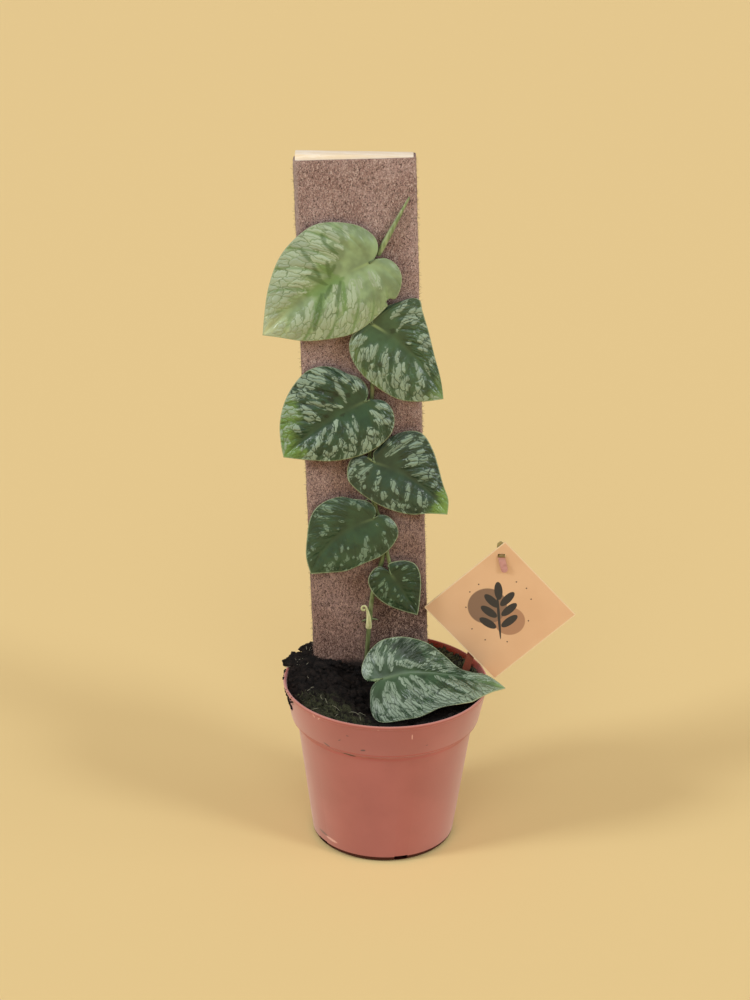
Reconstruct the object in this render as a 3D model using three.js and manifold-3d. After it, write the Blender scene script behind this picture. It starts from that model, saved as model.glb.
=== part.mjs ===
// A young shingle plant, Monstera dubia, climbing a felt-covered board in a plastic nursery pot.
// Sizes are in millimetres, +Z is up, the plant faces -Y, and the origin is the middle of the pot's foot.
import * as THREE from 'three';
import { mergeVertices } from 'three/addons/utils/BufferGeometryUtils.js';
import Module from 'manifold-3d';

const wasm = await Module();
wasm.setup();

// Driving sizes
const GAP = 0.3;
const POT = {
  height: 100,
  rimRadius: 60,
  wall: 1.2,
  collarTopZ: 97.5,
  collarTopRadius: 59.3,
  collarBottomZ: 78,
  collarBottomRadius: 55,
  neckZ: 76,
  neckRadius: 51.7,
  baseRadius: 37.4,
  cornerRadius: 4.5,
  footWidth: 3,
  padRadius: 20,
  channelZ: 3,
  sides: 44,
};
const SLOT = { count: 5, firstAngle: 213, width: 8, depth: 9, height: 3, z: 1.3 };
const BOARD = {
  pivot: new THREE.Vector3(-8.7, 0, 96),
  lean: 2.6,
  frontY: 18,
  width: 68,
  depth: 12,
  cornerRadius: 3,
  felt: 1.2,
  top: 313.5,
  coverBottom: -13,
  shoulder: -16,
  tangWidth: 40,
  tangBottom: -68,
  feltTrimLeft: 3,
  feltTrimRight: 0.6,
};
const STEM = {
  radius: 1.4,
  y: 16.2,
  sides: 8,
  steps: 42,
  petioleRadius: 1.05,
  petioleSteps: 6,
  rootRadius: 0.8,
};
const BLADE = { thickness: 0.7, rows: 20, columns: 10, fanShare: 0.35, fanPower: 1.8, veinBow: 0.09 };
const BOARD_LEAF = { y: 12, slope: 0.1, arch: 1.4, curl: 0.8 };
const CARD = { centre: new THREE.Vector3(66.2, 17.1, 137.1), side: 63, thickness: 0.6, turn: 43 };
const STAKE = {
  y: 18.3,
  width: 5,
  thickness: 1.2,
  tongueLength: 10.5,
  tongueWidth: 4,
  tongueThickness: 0.9,
  bridgeHeight: 1.6,
  bridgeReach: 3,
};
const SOIL = {
  level: 95.5,
  lump: 0.6,
  rings: [48, 40, 32, 24, 16, 8],
  spillCentre: [-48.5, 19, 98],
  spillSize: [9.5, 15, 7],
  spillTurn: 28,
};

// Turns between three.js geometry and solids that can be joined and cut
function toSolid(geometry) {
  const bare = geometry.clone();
  bare.deleteAttribute('normal');
  bare.deleteAttribute('uv');
  const merged = mergeVertices(bare, 1e-3);
  const position = merged.getAttribute('position');
  const triangles = [];
  const index = merged.getIndex().array;
  for (let i = 0; i < index.length; i += 3) {
    const [a, b, c] = [index[i], index[i + 1], index[i + 2]];
    if (a !== b && b !== c && c !== a) triangles.push(a, b, c);
  }
  return new wasm.Manifold(new wasm.Mesh({
    numProp: 3,
    vertProperties: new Float32Array(position.array),
    triVerts: new Uint32Array(triangles),
  }));
}

function toGeometry(solid) {
  const mesh = solid.getMesh();
  const geometry = new THREE.BufferGeometry();
  geometry.setAttribute('position', new THREE.Float32BufferAttribute(mesh.vertProperties, 3));
  geometry.setIndex(Array.from(mesh.triVerts));
  geometry.computeVertexNormals();
  return geometry;
}

function joinAll(solids) {
  return solids.reduce((joined, next) => joined.add(next));
}

const radians = THREE.MathUtils.degToRad;
const smoothstep = THREE.MathUtils.smoothstep;

// A profile of [radius, z] points turned about the Z axis
function turned(profile, sides) {
  const lathe = new THREE.LatheGeometry(profile.map(([r, z]) => new THREE.Vector2(r, z)), sides);
  return lathe.rotateX(Math.PI / 2);
}

// A round rod along a smooth curve through the points
function rod(points, radius, steps) {
  const path = new THREE.CatmullRomCurve3(points.map((p) => new THREE.Vector3(...p)), false, 'centripetal');
  const section = new THREE.Shape();
  for (let i = 0; i < STEM.sides; i += 1) {
    const angle = (2 * Math.PI * i) / STEM.sides;
    const corner = [radius * Math.cos(angle), radius * Math.sin(angle)];
    if (i === 0) section.moveTo(...corner);
    else section.lineTo(...corner);
  }
  return new THREE.ExtrudeGeometry(section, { extrudePath: path, steps });
}

// Pot: one moulded wall, a collar, and a foot ring round a raised drainage channel
function arcPoints(radius, from, to, count) {
  const points = [];
  for (let i = 0; i <= count; i += 1) {
    const angle = radians(from + ((to - from) * i) / count);
    const r = POT.baseRadius + radius * Math.cos(angle);
    points.push([r, POT.cornerRadius + radius * Math.sin(angle)]);
  }
  return points;
}

const channelInner = POT.padRadius + 2;
const channelOuter = POT.baseRadius - POT.footWidth - 1.5;
const wallLean = 8;

function potOuterProfile() {
  return [
    [0, 0], [POT.padRadius, 0], [channelInner, POT.channelZ], [channelOuter, POT.channelZ],
    [POT.baseRadius - POT.footWidth, 0], ...arcPoints(POT.cornerRadius, -90, -wallLean, 3),
    [POT.neckRadius - 0.4, POT.neckZ - 3], [POT.neckRadius + 0.7, POT.neckZ],
    [POT.collarBottomRadius - 0.6, POT.collarBottomZ - 0.6],
    [POT.collarBottomRadius + 0.3, POT.collarBottomZ + 1],
    [POT.collarTopRadius, POT.collarTopZ], [POT.rimRadius, POT.height - 0.9],
    [POT.rimRadius - 0.4, POT.height],
  ];
}

function potInnerProfile(offset) {
  const t = POT.wall + offset;
  return [
    [POT.rimRadius - 0.1 - t, POT.height], [POT.collarTopRadius - t, POT.collarTopZ],
    [POT.collarBottomRadius + 0.3 - t, POT.collarBottomZ + 1.6], [POT.neckRadius - 0.2 - t, POT.neckZ],
    ...arcPoints(POT.cornerRadius - t, -wallLean, -90, 2),
    [POT.baseRadius - POT.footWidth + 0.5, t], [channelOuter + 0.5, POT.channelZ + t],
    [channelInner - 0.5, POT.channelZ + t], [POT.padRadius - 0.5, t], [0, t],
  ];
}

function makePot() {
  let pot = toSolid(turned([...potOuterProfile(), ...potInnerProfile(0)], POT.sides));
  for (let i = 0; i < SLOT.count; i += 1) {
    const box = new THREE.BoxGeometry(SLOT.depth, SLOT.width, SLOT.height);
    box.translate(POT.baseRadius + POT.cornerRadius - SLOT.depth / 2 + 2, 0, SLOT.z + SLOT.height / 2);
    box.rotateZ(radians(SLOT.firstAngle + (360 * i) / SLOT.count));
    pot = pot.subtract(toSolid(box));
  }
  return toGeometry(pot);
}

// Board: a plank sawn narrower where it stands in the soil, in a sleeve of felt
function leaned(geometry) {
  return geometry.rotateY(radians(-BOARD.lean)).translate(BOARD.pivot.x, BOARD.pivot.y, BOARD.pivot.z);
}

function plankGeometry(grow) {
  const half = BOARD.width / 2 - BOARD.felt - GAP + grow;
  const tang = BOARD.tangWidth / 2 + grow;
  const top = BOARD.top + grow;
  const shoulder = BOARD.shoulder - grow;
  const bottom = BOARD.tangBottom - grow;
  const outline = new THREE.Shape([
    new THREE.Vector2(-half, top), new THREE.Vector2(-half, shoulder),
    new THREE.Vector2(-tang, shoulder), new THREE.Vector2(-tang, bottom),
    new THREE.Vector2(tang, bottom), new THREE.Vector2(tang, shoulder),
    new THREE.Vector2(half, shoulder), new THREE.Vector2(half, top),
  ]);
  const thickness = BOARD.depth - 2 * (BOARD.felt + GAP) + 2 * grow;
  const plank = new THREE.ExtrudeGeometry(outline, { depth: thickness, bevelEnabled: false });
  plank.translate(0, 0, -thickness / 2).rotateX(Math.PI / 2);
  return leaned(plank.translate(0, BOARD.frontY + BOARD.depth / 2, 0));
}

function roundedRectangle(halfWidth, halfDepth, radius) {
  const shape = new THREE.Shape();
  shape.absarc(halfWidth - radius, halfDepth - radius, radius, 0, Math.PI / 2, false);
  shape.absarc(radius - halfWidth, halfDepth - radius, radius, Math.PI / 2, Math.PI, false);
  shape.absarc(radius - halfWidth, radius - halfDepth, radius, Math.PI, 1.5 * Math.PI, false);
  shape.absarc(halfWidth - radius, radius - halfDepth, radius, 1.5 * Math.PI, 2 * Math.PI, false);
  return shape;
}

function coverBlock(grow) {
  const radius = BOARD.cornerRadius + grow;
  const outline = roundedRectangle(BOARD.width / 2 + grow, BOARD.depth / 2 + grow, radius);
  const height = BOARD.top - BOARD.coverBottom + grow;
  const settings = { depth: height, bevelEnabled: false, curveSegments: 3 };
  const block = new THREE.ExtrudeGeometry(outline, settings);
  return leaned(block.translate(0, BOARD.frontY + BOARD.depth / 2, BOARD.coverBottom - grow));
}

function makeBoardCover() {
  const width = BOARD.width + 20;
  const trim = new THREE.BoxGeometry(width, 40, 20).translate(0, 0, 10);
  const slant = Math.atan2(BOARD.feltTrimLeft - BOARD.feltTrimRight, BOARD.width);
  const middle = (BOARD.feltTrimLeft + BOARD.feltTrimRight) / 2;
  trim.rotateY(-slant).translate(0, BOARD.frontY + BOARD.depth / 2, BOARD.top - middle);
  const hole = toSolid(plankGeometry(GAP));
  return toGeometry(toSolid(coverBlock(0)).subtract(hole).subtract(toSolid(leaned(trim))));
}

// Leaves: each blade is a sheet of vein lines that run from the midrib to the margin.
// The upper and lower margins are [along the midrib, away from it], from the petiole round to the tip.
const boardLeaves = [
  {
    name: 'leaf_1', at: [-14, 351.3], heading: 215.6, length: 72, bow: 3.4,
    upper: [[0, 0], [-5, 0.8], [-9, 4], [-11, 9.5], [-8, 19], [0, 27.5], [11, 34], [22, 34.8],
      [38, 31], [54, 20], [67, 6], [72, 0]],
    lower: [[0, 0], [-5, 0.8], [-9, 2.8], [-12, 9], [-10.5, 17], [-3, 24.2], [6, 26.2], [19, 28.3],
      [30, 28], [42, 23.5], [55, 16], [66, 5.5], [72, 0]],
    bite: { s: 3, t: -25.5, radius: 2.6 },
  },
  {
    name: 'leaf_2', at: [-11.1, 315.3], heading: -46.2, length: 58.4, bow: 4.6,
    upper: [[0, 0], [-4, 3.2], [-4.2, 8], [-0.5, 17.5], [4, 26.5], [7.5, 28.6], [13, 25.6],
      [24, 20.2], [36, 13.5], [48, 7.2], [55.7, 2.1], [58.4, 0]],
    lower: [[0, 0], [-4.5, 2], [-5.3, 6.5], [-3.5, 13], [0, 18.3], [7, 22.3], [17, 24], [30, 22.5],
      [42, 18.5], [51, 10.5], [58.4, 0]],
  },
  {
    name: 'leaf_3', at: [-15.4, 269], heading: 216.5, length: 56.3, bow: 2.4,
    upper: [[0, 0], [-4.5, 2.2], [-6.5, 6.5], [-5.7, 13], [-2, 18.5], [2, 25.5], [8.5, 31],
      [17, 33], [28, 30.4], [38, 25], [47, 16.5], [53.3, 6.5], [56.3, 0]],
    lower: [[0, 0], [-6, 2.6], [-9.6, 6.5], [-10.4, 12], [-8, 18.5], [-2.5, 23.8], [5, 26],
      [14, 26], [24, 23.4], [36, 17.5], [47.7, 8], [56.3, 0]],
  },
  {
    name: 'leaf_4', at: [-8.3, 231.7], heading: -35.7, length: 51.5, bow: 5,
    upper: [[0, 0], [-4.5, 3.8], [-4, 9.5], [-2, 17.5], [2, 24.5], [8, 29], [13, 29.5], [22, 25.5],
      [30, 19.8], [38.4, 13.1], [46.5, 7.5], [49.5, 3.5], [51.5, 0]],
    lower: [[0, 0], [-5.5, 0.6], [-10.5, 1.4], [-12.5, 6], [-11, 12], [-6.5, 17.6], [0, 19.4],
      [12, 19.6], [25, 17], [35, 12.6], [43, 5.8], [51.5, 0]],
  },
  {
    name: 'leaf_5', at: [-9.4, 196.5], heading: 223.7, length: 48.9, bow: 6,
    upper: [[0, 0], [-4, 1.4], [-6, 5.5], [-4.8, 10.6], [0, 16.5], [4.5, 22.3], [12, 26],
      [20, 26.8], [27, 24.2], [36, 17], [44, 9], [48.9, 0]],
    lower: [[0, 0], [-4.5, 0.7], [-7.5, 4], [-8, 10.5], [-5, 16.5], [2, 19.6], [11, 20], [22, 16.5],
      [33, 12.6], [42, 5.8], [48.9, 0]],
  },
  {
    name: 'leaf_6', at: [2.2, 161.4], heading: -57.3, length: 29, bow: 0.4,
    upper: [[0, 0], [-3.6, 0.6], [-6.4, 2], [-6, 5.6], [-2.6, 12], [1.5, 15], [6.5, 15], [13, 12.2],
      [20, 7.4], [26, 2.8], [29, 0]],
    lower: [[0, 0], [-4.5, 0.8], [-7.8, 3], [-8.3, 7], [-4.5, 13.2], [1.5, 15.1], [8, 14.4],
      [15, 11.6], [23, 5.6], [29, 0]],
  },
];

const rimLeaf = {
  name: 'leaf_7', length: 71.7, bow: 0,
  midrib: [[-1.6, -5, 102.5], [14, -6, 107], [37, -8, 107.1], [59.5, -11.5, 103.6], [69.6, -13, 101.9]],
  upper: [[0, 0], [-5, 0.8], [-10, 1], [-13, 5.5], [-13, 11], [-9.5, 17.5], [-2.5, 22.8], [5, 23.3],
    [16, 21], [27, 17.4], [36, 11.5], [44, 5.8], [53, 4.8], [60, 5.8], [66, 3.6], [71.7, 0]],
  lower: [[0, 0], [-4, 1], [-7, 4], [-7.7, 12], [-7, 19], [-3, 25.5], [6, 28], [20, 27.6],
    [32, 23.6], [44, 23], [51, 20], [56, 14.5], [62, 8], [71.7, 0]],
  upperRise: [54, 35],
  lowerFall: [42, 11],
  levelFrom: 18,
  levelTo: 50,
};

function marginCurve(points) {
  const path = points.map(([s, t]) => new THREE.Vector3(s, t, 0));
  return new THREE.CatmullRomCurve3(path, false, 'centripetal');
}

// The flat place of a point of the blade: side is 1 on the upper half and -1 on the lower one,
// across runs from 0 at the midrib to 1 at the margin, and along from 0 at the petiole to 1 at the tip
function flatPoint(leaf, side, across, along) {
  const onMargin = leaf.margins[side].getPointAt(along);
  const end = new THREE.Vector2(onMargin.x, side * onMargin.y);
  const share = Math.max(0, (along - BLADE.fanShare) / (1 - BLADE.fanShare)) ** BLADE.fanPower;
  const start = new THREE.Vector2(leaf.length * share, leaf.bow * 4 * share * (1 - share));
  const chord = end.clone().sub(start);
  const bulge = BLADE.veinBow * 4 * across * (1 - across);
  return new THREE.Vector2(
    start.x + chord.x * across - side * chord.y * bulge,
    start.y + chord.y * across + side * chord.x * bulge,
  );
}

function placeOnBoard(leaf, flat) {
  const heading = radians(leaf.heading);
  const alongX = Math.cos(heading);
  const alongZ = Math.sin(heading);
  const x = leaf.at[0] + flat.x * alongX - flat.y * alongZ * leaf.hand;
  const z = leaf.at[1] + flat.x * alongZ + flat.y * alongX * leaf.hand;
  return new THREE.Vector3(x, BOARD_LEAF.y + BOARD_LEAF.slope * (z - leaf.at[1]), z);
}

const rimMidribPoints = rimLeaf.midrib.map((p) => new THREE.Vector3(...p));
const rimMidrib = new THREE.CatmullRomCurve3(rimMidribPoints, false, 'centripetal');

function placeOverRim(leaf, flat) {
  const share = flat.x / leaf.length;
  const point = rimMidrib.getPointAt(THREE.MathUtils.clamp(share, 0, 1));
  if (share < 0) point.addScaledVector(rimMidrib.getTangentAt(0), flat.x);
  const [rise0, rise1] = leaf.upperRise;
  const [fall0, fall1] = leaf.lowerFall;
  const rise = radians(rise0 + (rise1 - rise0) * smoothstep(flat.x, leaf.levelFrom, leaf.length));
  const fall = radians(fall0 + (fall1 - fall0) * smoothstep(flat.x, leaf.levelFrom, leaf.levelTo));
  const angle = flat.y > 0 ? rise : fall;
  return point.add(new THREE.Vector3(0, flat.y * Math.cos(angle), flat.y * Math.sin(angle)));
}

function bladePoint(leaf, side, across, along) {
  const flat = flatPoint(leaf, side, across, along);
  const here = leaf.place(leaf, flat);
  const step = 0.5;
  const ahead = leaf.place(leaf, new THREE.Vector2(flat.x + step, flat.y)).sub(here);
  const aside = leaf.place(leaf, new THREE.Vector2(flat.x, flat.y + step)).sub(here);
  const face = ahead.cross(aside).normalize();
  if (face.y > 0) face.negate();
  const lift = BOARD_LEAF.arch * Math.sin(Math.PI * across) - BOARD_LEAF.curl * across ** 4;
  return { here: here.addScaledVector(face, lift * leaf.relief), face };
}

function makeBlade(leaf) {
  const sheet = new THREE.PlaneGeometry(2, 1, BLADE.columns, BLADE.rows);
  const position = sheet.getAttribute('position');
  const front = [];
  const back = [];
  for (let i = 0; i < position.count; i += 1) {
    const u = position.getX(i);
    const side = u < 0 ? -leaf.hand : leaf.hand;
    const { here, face } = bladePoint(leaf, side, Math.abs(u), 0.5 - position.getY(i));
    front.push(here.clone().addScaledVector(face, BLADE.thickness / 2).toArray());
    back.push(here.addScaledVector(face, -BLADE.thickness / 2).toArray());
  }
  const blade = toSolid(thickened(sheet.getIndex().array, front, back));
  return toGeometry(leaf.bite ? blade.subtract(toSolid(biteHole(leaf))) : blade);
}

// A hole nibbled close to the margin, which leaves only a thread of leaf round it
function biteHole(leaf) {
  const place = leaf.place(leaf, new THREE.Vector2(leaf.bite.s, leaf.bite.t));
  const depth = 20;
  const hole = new THREE.CylinderGeometry(leaf.bite.radius, leaf.bite.radius, depth, 10);
  return hole.translate(place.x, place.y, place.z);
}

// Two sheets with the same triangles, closed round their edge
function thickened(index, front, back) {
  const count = front.length;
  const faces = [];
  const edges = new Map();
  for (let i = 0; i < index.length; i += 3) {
    const [a, b, c] = [index[i], index[i + 1], index[i + 2]];
    faces.push(a, b, c, a + count, c + count, b + count);
    for (const [p, q] of [[a, b], [b, c], [c, a]]) {
      if (edges.has(`${q},${p}`)) edges.delete(`${q},${p}`);
      else edges.set(`${p},${q}`, [p, q]);
    }
  }
  for (const [p, q] of edges.values()) faces.push(q, p, p + count, q, p + count, q + count);
  const geometry = new THREE.BufferGeometry();
  geometry.setAttribute('position', new THREE.Float32BufferAttribute([...front, ...back].flat(), 3));
  geometry.setAttribute('normal', new THREE.Float32BufferAttribute(new Float32Array(6 * count), 3));
  geometry.setAttribute('uv', new THREE.Float32BufferAttribute(new Float32Array(4 * count), 2));
  geometry.setIndex(faces);
  return geometry;
}

const leaves = [
  ...boardLeaves.map((leaf) => ({ ...leaf, place: placeOnBoard, relief: leaf.length / 60 })),
  { ...rimLeaf, place: placeOverRim, relief: 1 },
];
for (const leaf of leaves) {
  leaf.margins = { 1: marginCurve(leaf.upper), '-1': marginCurve(leaf.lower) };
  leaf.hand = leaf.heading > 90 ? -1 : 1;
}

// Vine: the climbing stem with a petiole to each blade, a dried sheath that curls away, and root stubs
const stemPath = [
  [-11.4, 15, 76], [-11.8, 15.6, 98], [-11, STEM.y, 114], [-9.6, STEM.y, 137], [-7.3, STEM.y, 155],
  [-3.4, STEM.y, 169], [-2, STEM.y, 179], [-3.6, STEM.y, 190], [-8, STEM.y, 203], [-11.2, STEM.y, 222],
  [-11.6, STEM.y, 245], [-11, STEM.y, 271], [-10.4, STEM.y, 302], [-9.8, STEM.y, 337],
  [-9.4, STEM.y, 352.5],
];
const petioleStarts = [
  [-9.9, STEM.y, 338], [-10.4, STEM.y, 303], [-11.2, STEM.y, 257], [-11.6, STEM.y, 219],
  [-4.4, STEM.y, 188],
  [-1.9, STEM.y, 180],
];
const petioles = petioleStarts.map(([x, y, z], i) => {
  const [endX, endZ] = boardLeaves[i].at;
  const drop = 1.3 * Math.sign(endZ - z);
  return [[x, y, z], [(x + endX) / 2, 15.3, (z + endZ) / 2], [endX, 14.6, endZ - drop],
    [endX, 13.2, endZ]];
});
petioles.push([[-11.8, 15.2, 95], [-10.6, 9, 98.5], [-6, 0.5, 98.4], [-2.4, -3.5, 100.4]]);
const sheathCurl = [
  [-10.3, 15.6, 124], [-10.7, 13.9, 130.5], [-11.3, 13.1, 136.4], [-13, 12.8, 139],
  [-14.5, 12.8, 137.2],
  [-14, 12.8, 135],
];
const rootNodes = [
  { z: 131, x: -10 }, { z: 208, x: -9.2 }, { z: 247, x: -11.6 }, { z: 288, x: -10.6 },
];

function makeVine() {
  const parts = [toSolid(rod(stemPath, STEM.radius, STEM.steps))];
  for (const path of petioles) parts.push(toSolid(rod(path, STEM.petioleRadius, STEM.petioleSteps)));
  parts.push(toSolid(rod(sheathCurl, STEM.petioleRadius * 0.9, 8)));
  for (const node of rootNodes) {
    for (const side of [-1, 1]) {
      const root = [
        [node.x, STEM.y, node.z], [node.x + side * 2.4, STEM.y - 0.2, node.z + 1],
        [node.x + side * 4.2, STEM.y + 0.4, node.z + side],
      ];
      parts.push(toSolid(rod(root, STEM.rootRadius, 2)));
    }
  }
  return toGeometry(joinAll(parts));
}

// New leaf, still rolled to a tapering spike above the stem's tip
function makeSpear() {
  const foot = new THREE.Vector3(-9.2, 15.8, 354.4);
  const tip = new THREE.Vector3(8, 16.4, 388.8);
  const length = foot.distanceTo(tip);
  const profile = [[0, 0], [1.1, 0.3], [1.6, 3], [1.75, length * 0.2], [1.5, length * 0.45],
    [0.9, length * 0.78],
    [0.35, length - 0.6], [0, length]];
  const spear = turned(profile, 10);
  const up = new THREE.Vector3(0, 0, 1);
  const aim = new THREE.Quaternion().setFromUnitVectors(up, tip.sub(foot).normalize());
  return spear.applyQuaternion(aim).translate(foot.x, foot.y, foot.z);
}

// Tag: a square card turned to a diamond, hung on the tongue of a springy plastic stake
const stakeCentre = new THREE.CatmullRomCurve3([
  [37.5, STAKE.y, 62], [47.6, STAKE.y, 98], [57, STAKE.y, 134], [65.4, STAKE.y, 164],
  [64.6, STAKE.y, 180],
].map((p) => new THREE.Vector3(...p)), false, 'centripetal');
const tongueTop = new THREE.Vector3(66, STAKE.y, 171.5);

function makeStake() {
  const left = [];
  const right = [];
  const steps = 16;
  const half = STAKE.width / 2;
  for (let i = 0; i <= steps; i += 1) {
    const point = stakeCentre.getPointAt(i / steps);
    const tangent = stakeCentre.getTangentAt(i / steps);
    left.push(new THREE.Vector2(point.x - tangent.z * half, point.z + tangent.x * half));
    right.push(new THREE.Vector2(point.x + tangent.z * half, point.z - tangent.x * half));
  }
  const top = stakeCentre.getPointAt(1);
  const peak = new THREE.Vector2(top.x - 0.6, top.z + 1.6);
  const outline = new THREE.Shape([...right, peak, ...left.reverse()]);
  const strap = new THREE.ExtrudeGeometry(outline, { depth: STAKE.thickness, bevelEnabled: false });
  strap.translate(0, 0, -STAKE.thickness / 2).rotateX(Math.PI / 2).translate(0, STAKE.y, 0);
  const bridge = new THREE.BoxGeometry(STAKE.tongueWidth, STAKE.bridgeReach, STAKE.bridgeHeight);
  const bridgeBack = STAKE.y + 0.3;
  bridge.translate(tongueTop.x, bridgeBack - STAKE.bridgeReach / 2, tongueTop.z);
  const tongue = new THREE.BoxGeometry(STAKE.tongueWidth, STAKE.tongueThickness, STAKE.tongueLength);
  tongue.translate(0, 0, (STAKE.bridgeHeight - STAKE.tongueLength) / 2).rotateY(radians(-6));
  tongue.translate(tongueTop.x, bridgeBack - STAKE.bridgeReach + STAKE.tongueThickness / 2, tongueTop.z);
  return toGeometry(joinAll([toSolid(strap), toSolid(bridge), toSolid(tongue)]));
}

function makeCard() {
  const card = new THREE.BoxGeometry(CARD.side, CARD.thickness, CARD.side);
  card.rotateY(radians(-CARD.turn)).translate(CARD.centre.x, CARD.centre.y, CARD.centre.z);
  const hole = new THREE.BoxGeometry(STAKE.tongueWidth + 2 * GAP, 4, STAKE.bridgeHeight + 2 * GAP);
  hole.translate(tongueTop.x, CARD.centre.y, tongueTop.z);
  return toGeometry(toSolid(card).subtract(toSolid(hole)));
}

// Soil: fills the pot, heaped up behind on the left and hollow in front on the right
const soilMounds = [
  { x: -40, y: 20, height: 8, spread: 15 },
  { x: -34, y: -30, height: 2.5, spread: 14 },
  { x: 9, y: -24, height: -14, spread: 22 },
  { x: -15, y: -8, height: -5, spread: 9 },
  { x: 34, y: 26, height: -5, spread: 16 },
];

function soilHeight(x, y) {
  let z = SOIL.level;
  for (const mound of soilMounds) {
    const distance = (x - mound.x) ** 2 + (y - mound.y) ** 2;
    z += mound.height * Math.exp(-distance / (2 * mound.spread ** 2));
  }
  return z + SOIL.lump * (Math.sin(0.42 * x + 1.3) * Math.sin(0.37 * y) + Math.sin(0.31 * x - 0.53 * y));
}

function makeSoil() {
  const wallSide = potInnerProfile(GAP).slice(1).reverse();
  const edge = POT.collarTopRadius - POT.wall - GAP;
  const profile = [...wallSide.slice(0, -1), [edge, SOIL.level], ...SOIL.rings.map((r) => [r, SOIL.level]),
    [0, SOIL.level]];
  const bed = turned(profile, POT.sides);
  const position = bed.getAttribute('position');
  const slope = (POT.collarTopRadius - POT.collarBottomRadius) / (POT.collarTopZ - POT.collarBottomZ);
  for (let i = 0; i < position.count; i += 1) {
    if (Math.abs(position.getZ(i) - SOIL.level) > 1e-3) continue;
    const x = position.getX(i);
    const y = position.getY(i);
    const z = soilHeight(x, y);
    const radius = Math.hypot(x, y);
    const squeeze = radius > edge - 0.1 ? 1 + (slope * Math.min(0, z - POT.collarTopZ)) / radius : 1;
    position.setXYZ(i, x * squeeze, y * squeeze, z);
  }
  const spill = new THREE.IcosahedronGeometry(1, 3);
  const spillPosition = spill.getAttribute('position');
  for (let i = 0; i < spillPosition.count; i += 1) {
    const p = new THREE.Vector3().fromBufferAttribute(spillPosition, i);
    const size = 1 + 0.1 * Math.sin(7 * p.x + 2) * Math.sin(6 * p.y + 1) + 0.06 * Math.sin(9 * p.z);
    spillPosition.setXYZ(i, size * p.x, size * p.y, size * p.z);
  }
  spill.scale(...SOIL.spillSize).rotateZ(radians(SOIL.spillTurn)).translate(...SOIL.spillCentre);
  const heap = toSolid(spill).subtract(toSolid(turned(rimRoomProfile(), POT.sides)));
  let soil = toSolid(bed).add(largest(heap));
  soil = soil.subtract(toSolid(plankGeometry(GAP))).subtract(toSolid(coverBlock(GAP)));
  soil = soil.subtract(toSolid(rod(stemPath, STEM.radius + GAP, STEM.steps))).subtract(toSolid(stemFoot()));
  soil = soil.subtract(toSolid(rod(petioles[6], STEM.petioleRadius + GAP, STEM.petioleSteps)));
  soil = soil.subtract(toSolid(stakeHole()));
  return toGeometry(largest(soil));
}

// The ring of space that the pot's rim and collar take, with a little room all round
function rimRoomProfile() {
  const low = 84;
  const inner = POT.collarTopRadius - POT.wall - GAP;
  const slope = (POT.collarTopRadius - POT.collarBottomRadius) / (POT.collarTopZ - POT.collarBottomZ);
  const drop = slope * (POT.collarTopZ - low);
  const outer = POT.rimRadius + GAP;
  const top = POT.height + GAP;
  return [[inner - drop, low], [outer - drop, low], [outer, POT.collarTopZ], [outer, top], [inner, top],
    [inner, POT.collarTopZ], [inner - drop, low]];
}

function stemFoot() {
  const [x, y, z] = stemPath[0];
  const length = 4;
  const foot = new THREE.CylinderGeometry(STEM.radius + GAP, STEM.radius + GAP, length, STEM.sides);
  return foot.rotateX(Math.PI / 2).translate(x, y, z + length / 2 - GAP);
}

function stakeHole() {
  const half = STAKE.width / 2 + GAP;
  const foot = { x: 37.5, z: 60, half: half + 1 };
  const mouth = { x: 49.5, z: 104, half: half + 0.1 };
  const outline = new THREE.Shape([
    new THREE.Vector2(foot.x - foot.half, foot.z), new THREE.Vector2(foot.x + foot.half, foot.z),
    new THREE.Vector2(mouth.x + mouth.half, mouth.z), new THREE.Vector2(mouth.x - mouth.half, mouth.z),
  ]);
  const depth = STAKE.thickness + 2 * GAP;
  const hole = new THREE.ExtrudeGeometry(outline, { depth, bevelEnabled: false });
  return hole.translate(0, 0, -depth / 2).rotateX(Math.PI / 2).translate(0, STAKE.y, 0);
}

function largest(solid) {
  return solid.decompose().reduce((big, next) => (next.volume() > big.volume() ? next : big));
}

// Finishes
const finishes = {
  pot: { color: 0xb06455, roughness: 0.5 },
  soil: { color: 0x2a1f18, roughness: 1 },
  wood: { color: 0xd8c3a0, roughness: 0.85 },
  felt: { color: 0x8f6e66, roughness: 1 },
  stem: { color: 0x7c9458, roughness: 0.5 },
  leaf: { color: 0x4a6446, roughness: 0.4 },
  youngLeaf: { color: 0x93ab7c, roughness: 0.4 },
  card: { color: 0xd9ae84, roughness: 0.9 },
  stake: { color: 0x9a7a6c, roughness: 0.35 },
};

const plant = new THREE.Group();

function addPiece(name, geometry, finish) {
  const material = new THREE.MeshStandardMaterial({ ...finishes[finish], metalness: 0 });
  const mesh = new THREE.Mesh(geometry, material);
  mesh.name = name;
  plant.add(mesh);
}

addPiece('pot', makePot(), 'pot');
addPiece('soil', makeSoil(), 'soil');
addPiece('board_core', plankGeometry(0), 'wood');
addPiece('board_cover', makeBoardCover(), 'felt');
addPiece('vine_stem', makeVine(), 'stem');
addPiece('new_leaf_spear', makeSpear(), 'youngLeaf');
for (const leaf of leaves) {
  const finish = leaf.name === 'leaf_1' ? 'youngLeaf' : 'leaf';
  addPiece(leaf.name, makeBlade(leaf), finish);
}
addPiece('tag_card', makeCard(), 'card');
addPiece('tag_stake', makeStake(), 'stake');

export default plant;
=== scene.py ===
# %% [markdown]
# # A young shingle plant on a felt-covered board
#
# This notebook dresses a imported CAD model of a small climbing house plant. Its heart-shaped leaves lie
# close to a board wrapped in brown felt, and the board stands in a terracotta-coloured nursery pot. The CAD
# model gives every place and size. Blender adds what makes each surface look real. Lengths below are
# written in millimetres and are multiplied by `MM` where Blender needs metres.

# %% Set up
import math
import random

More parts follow.
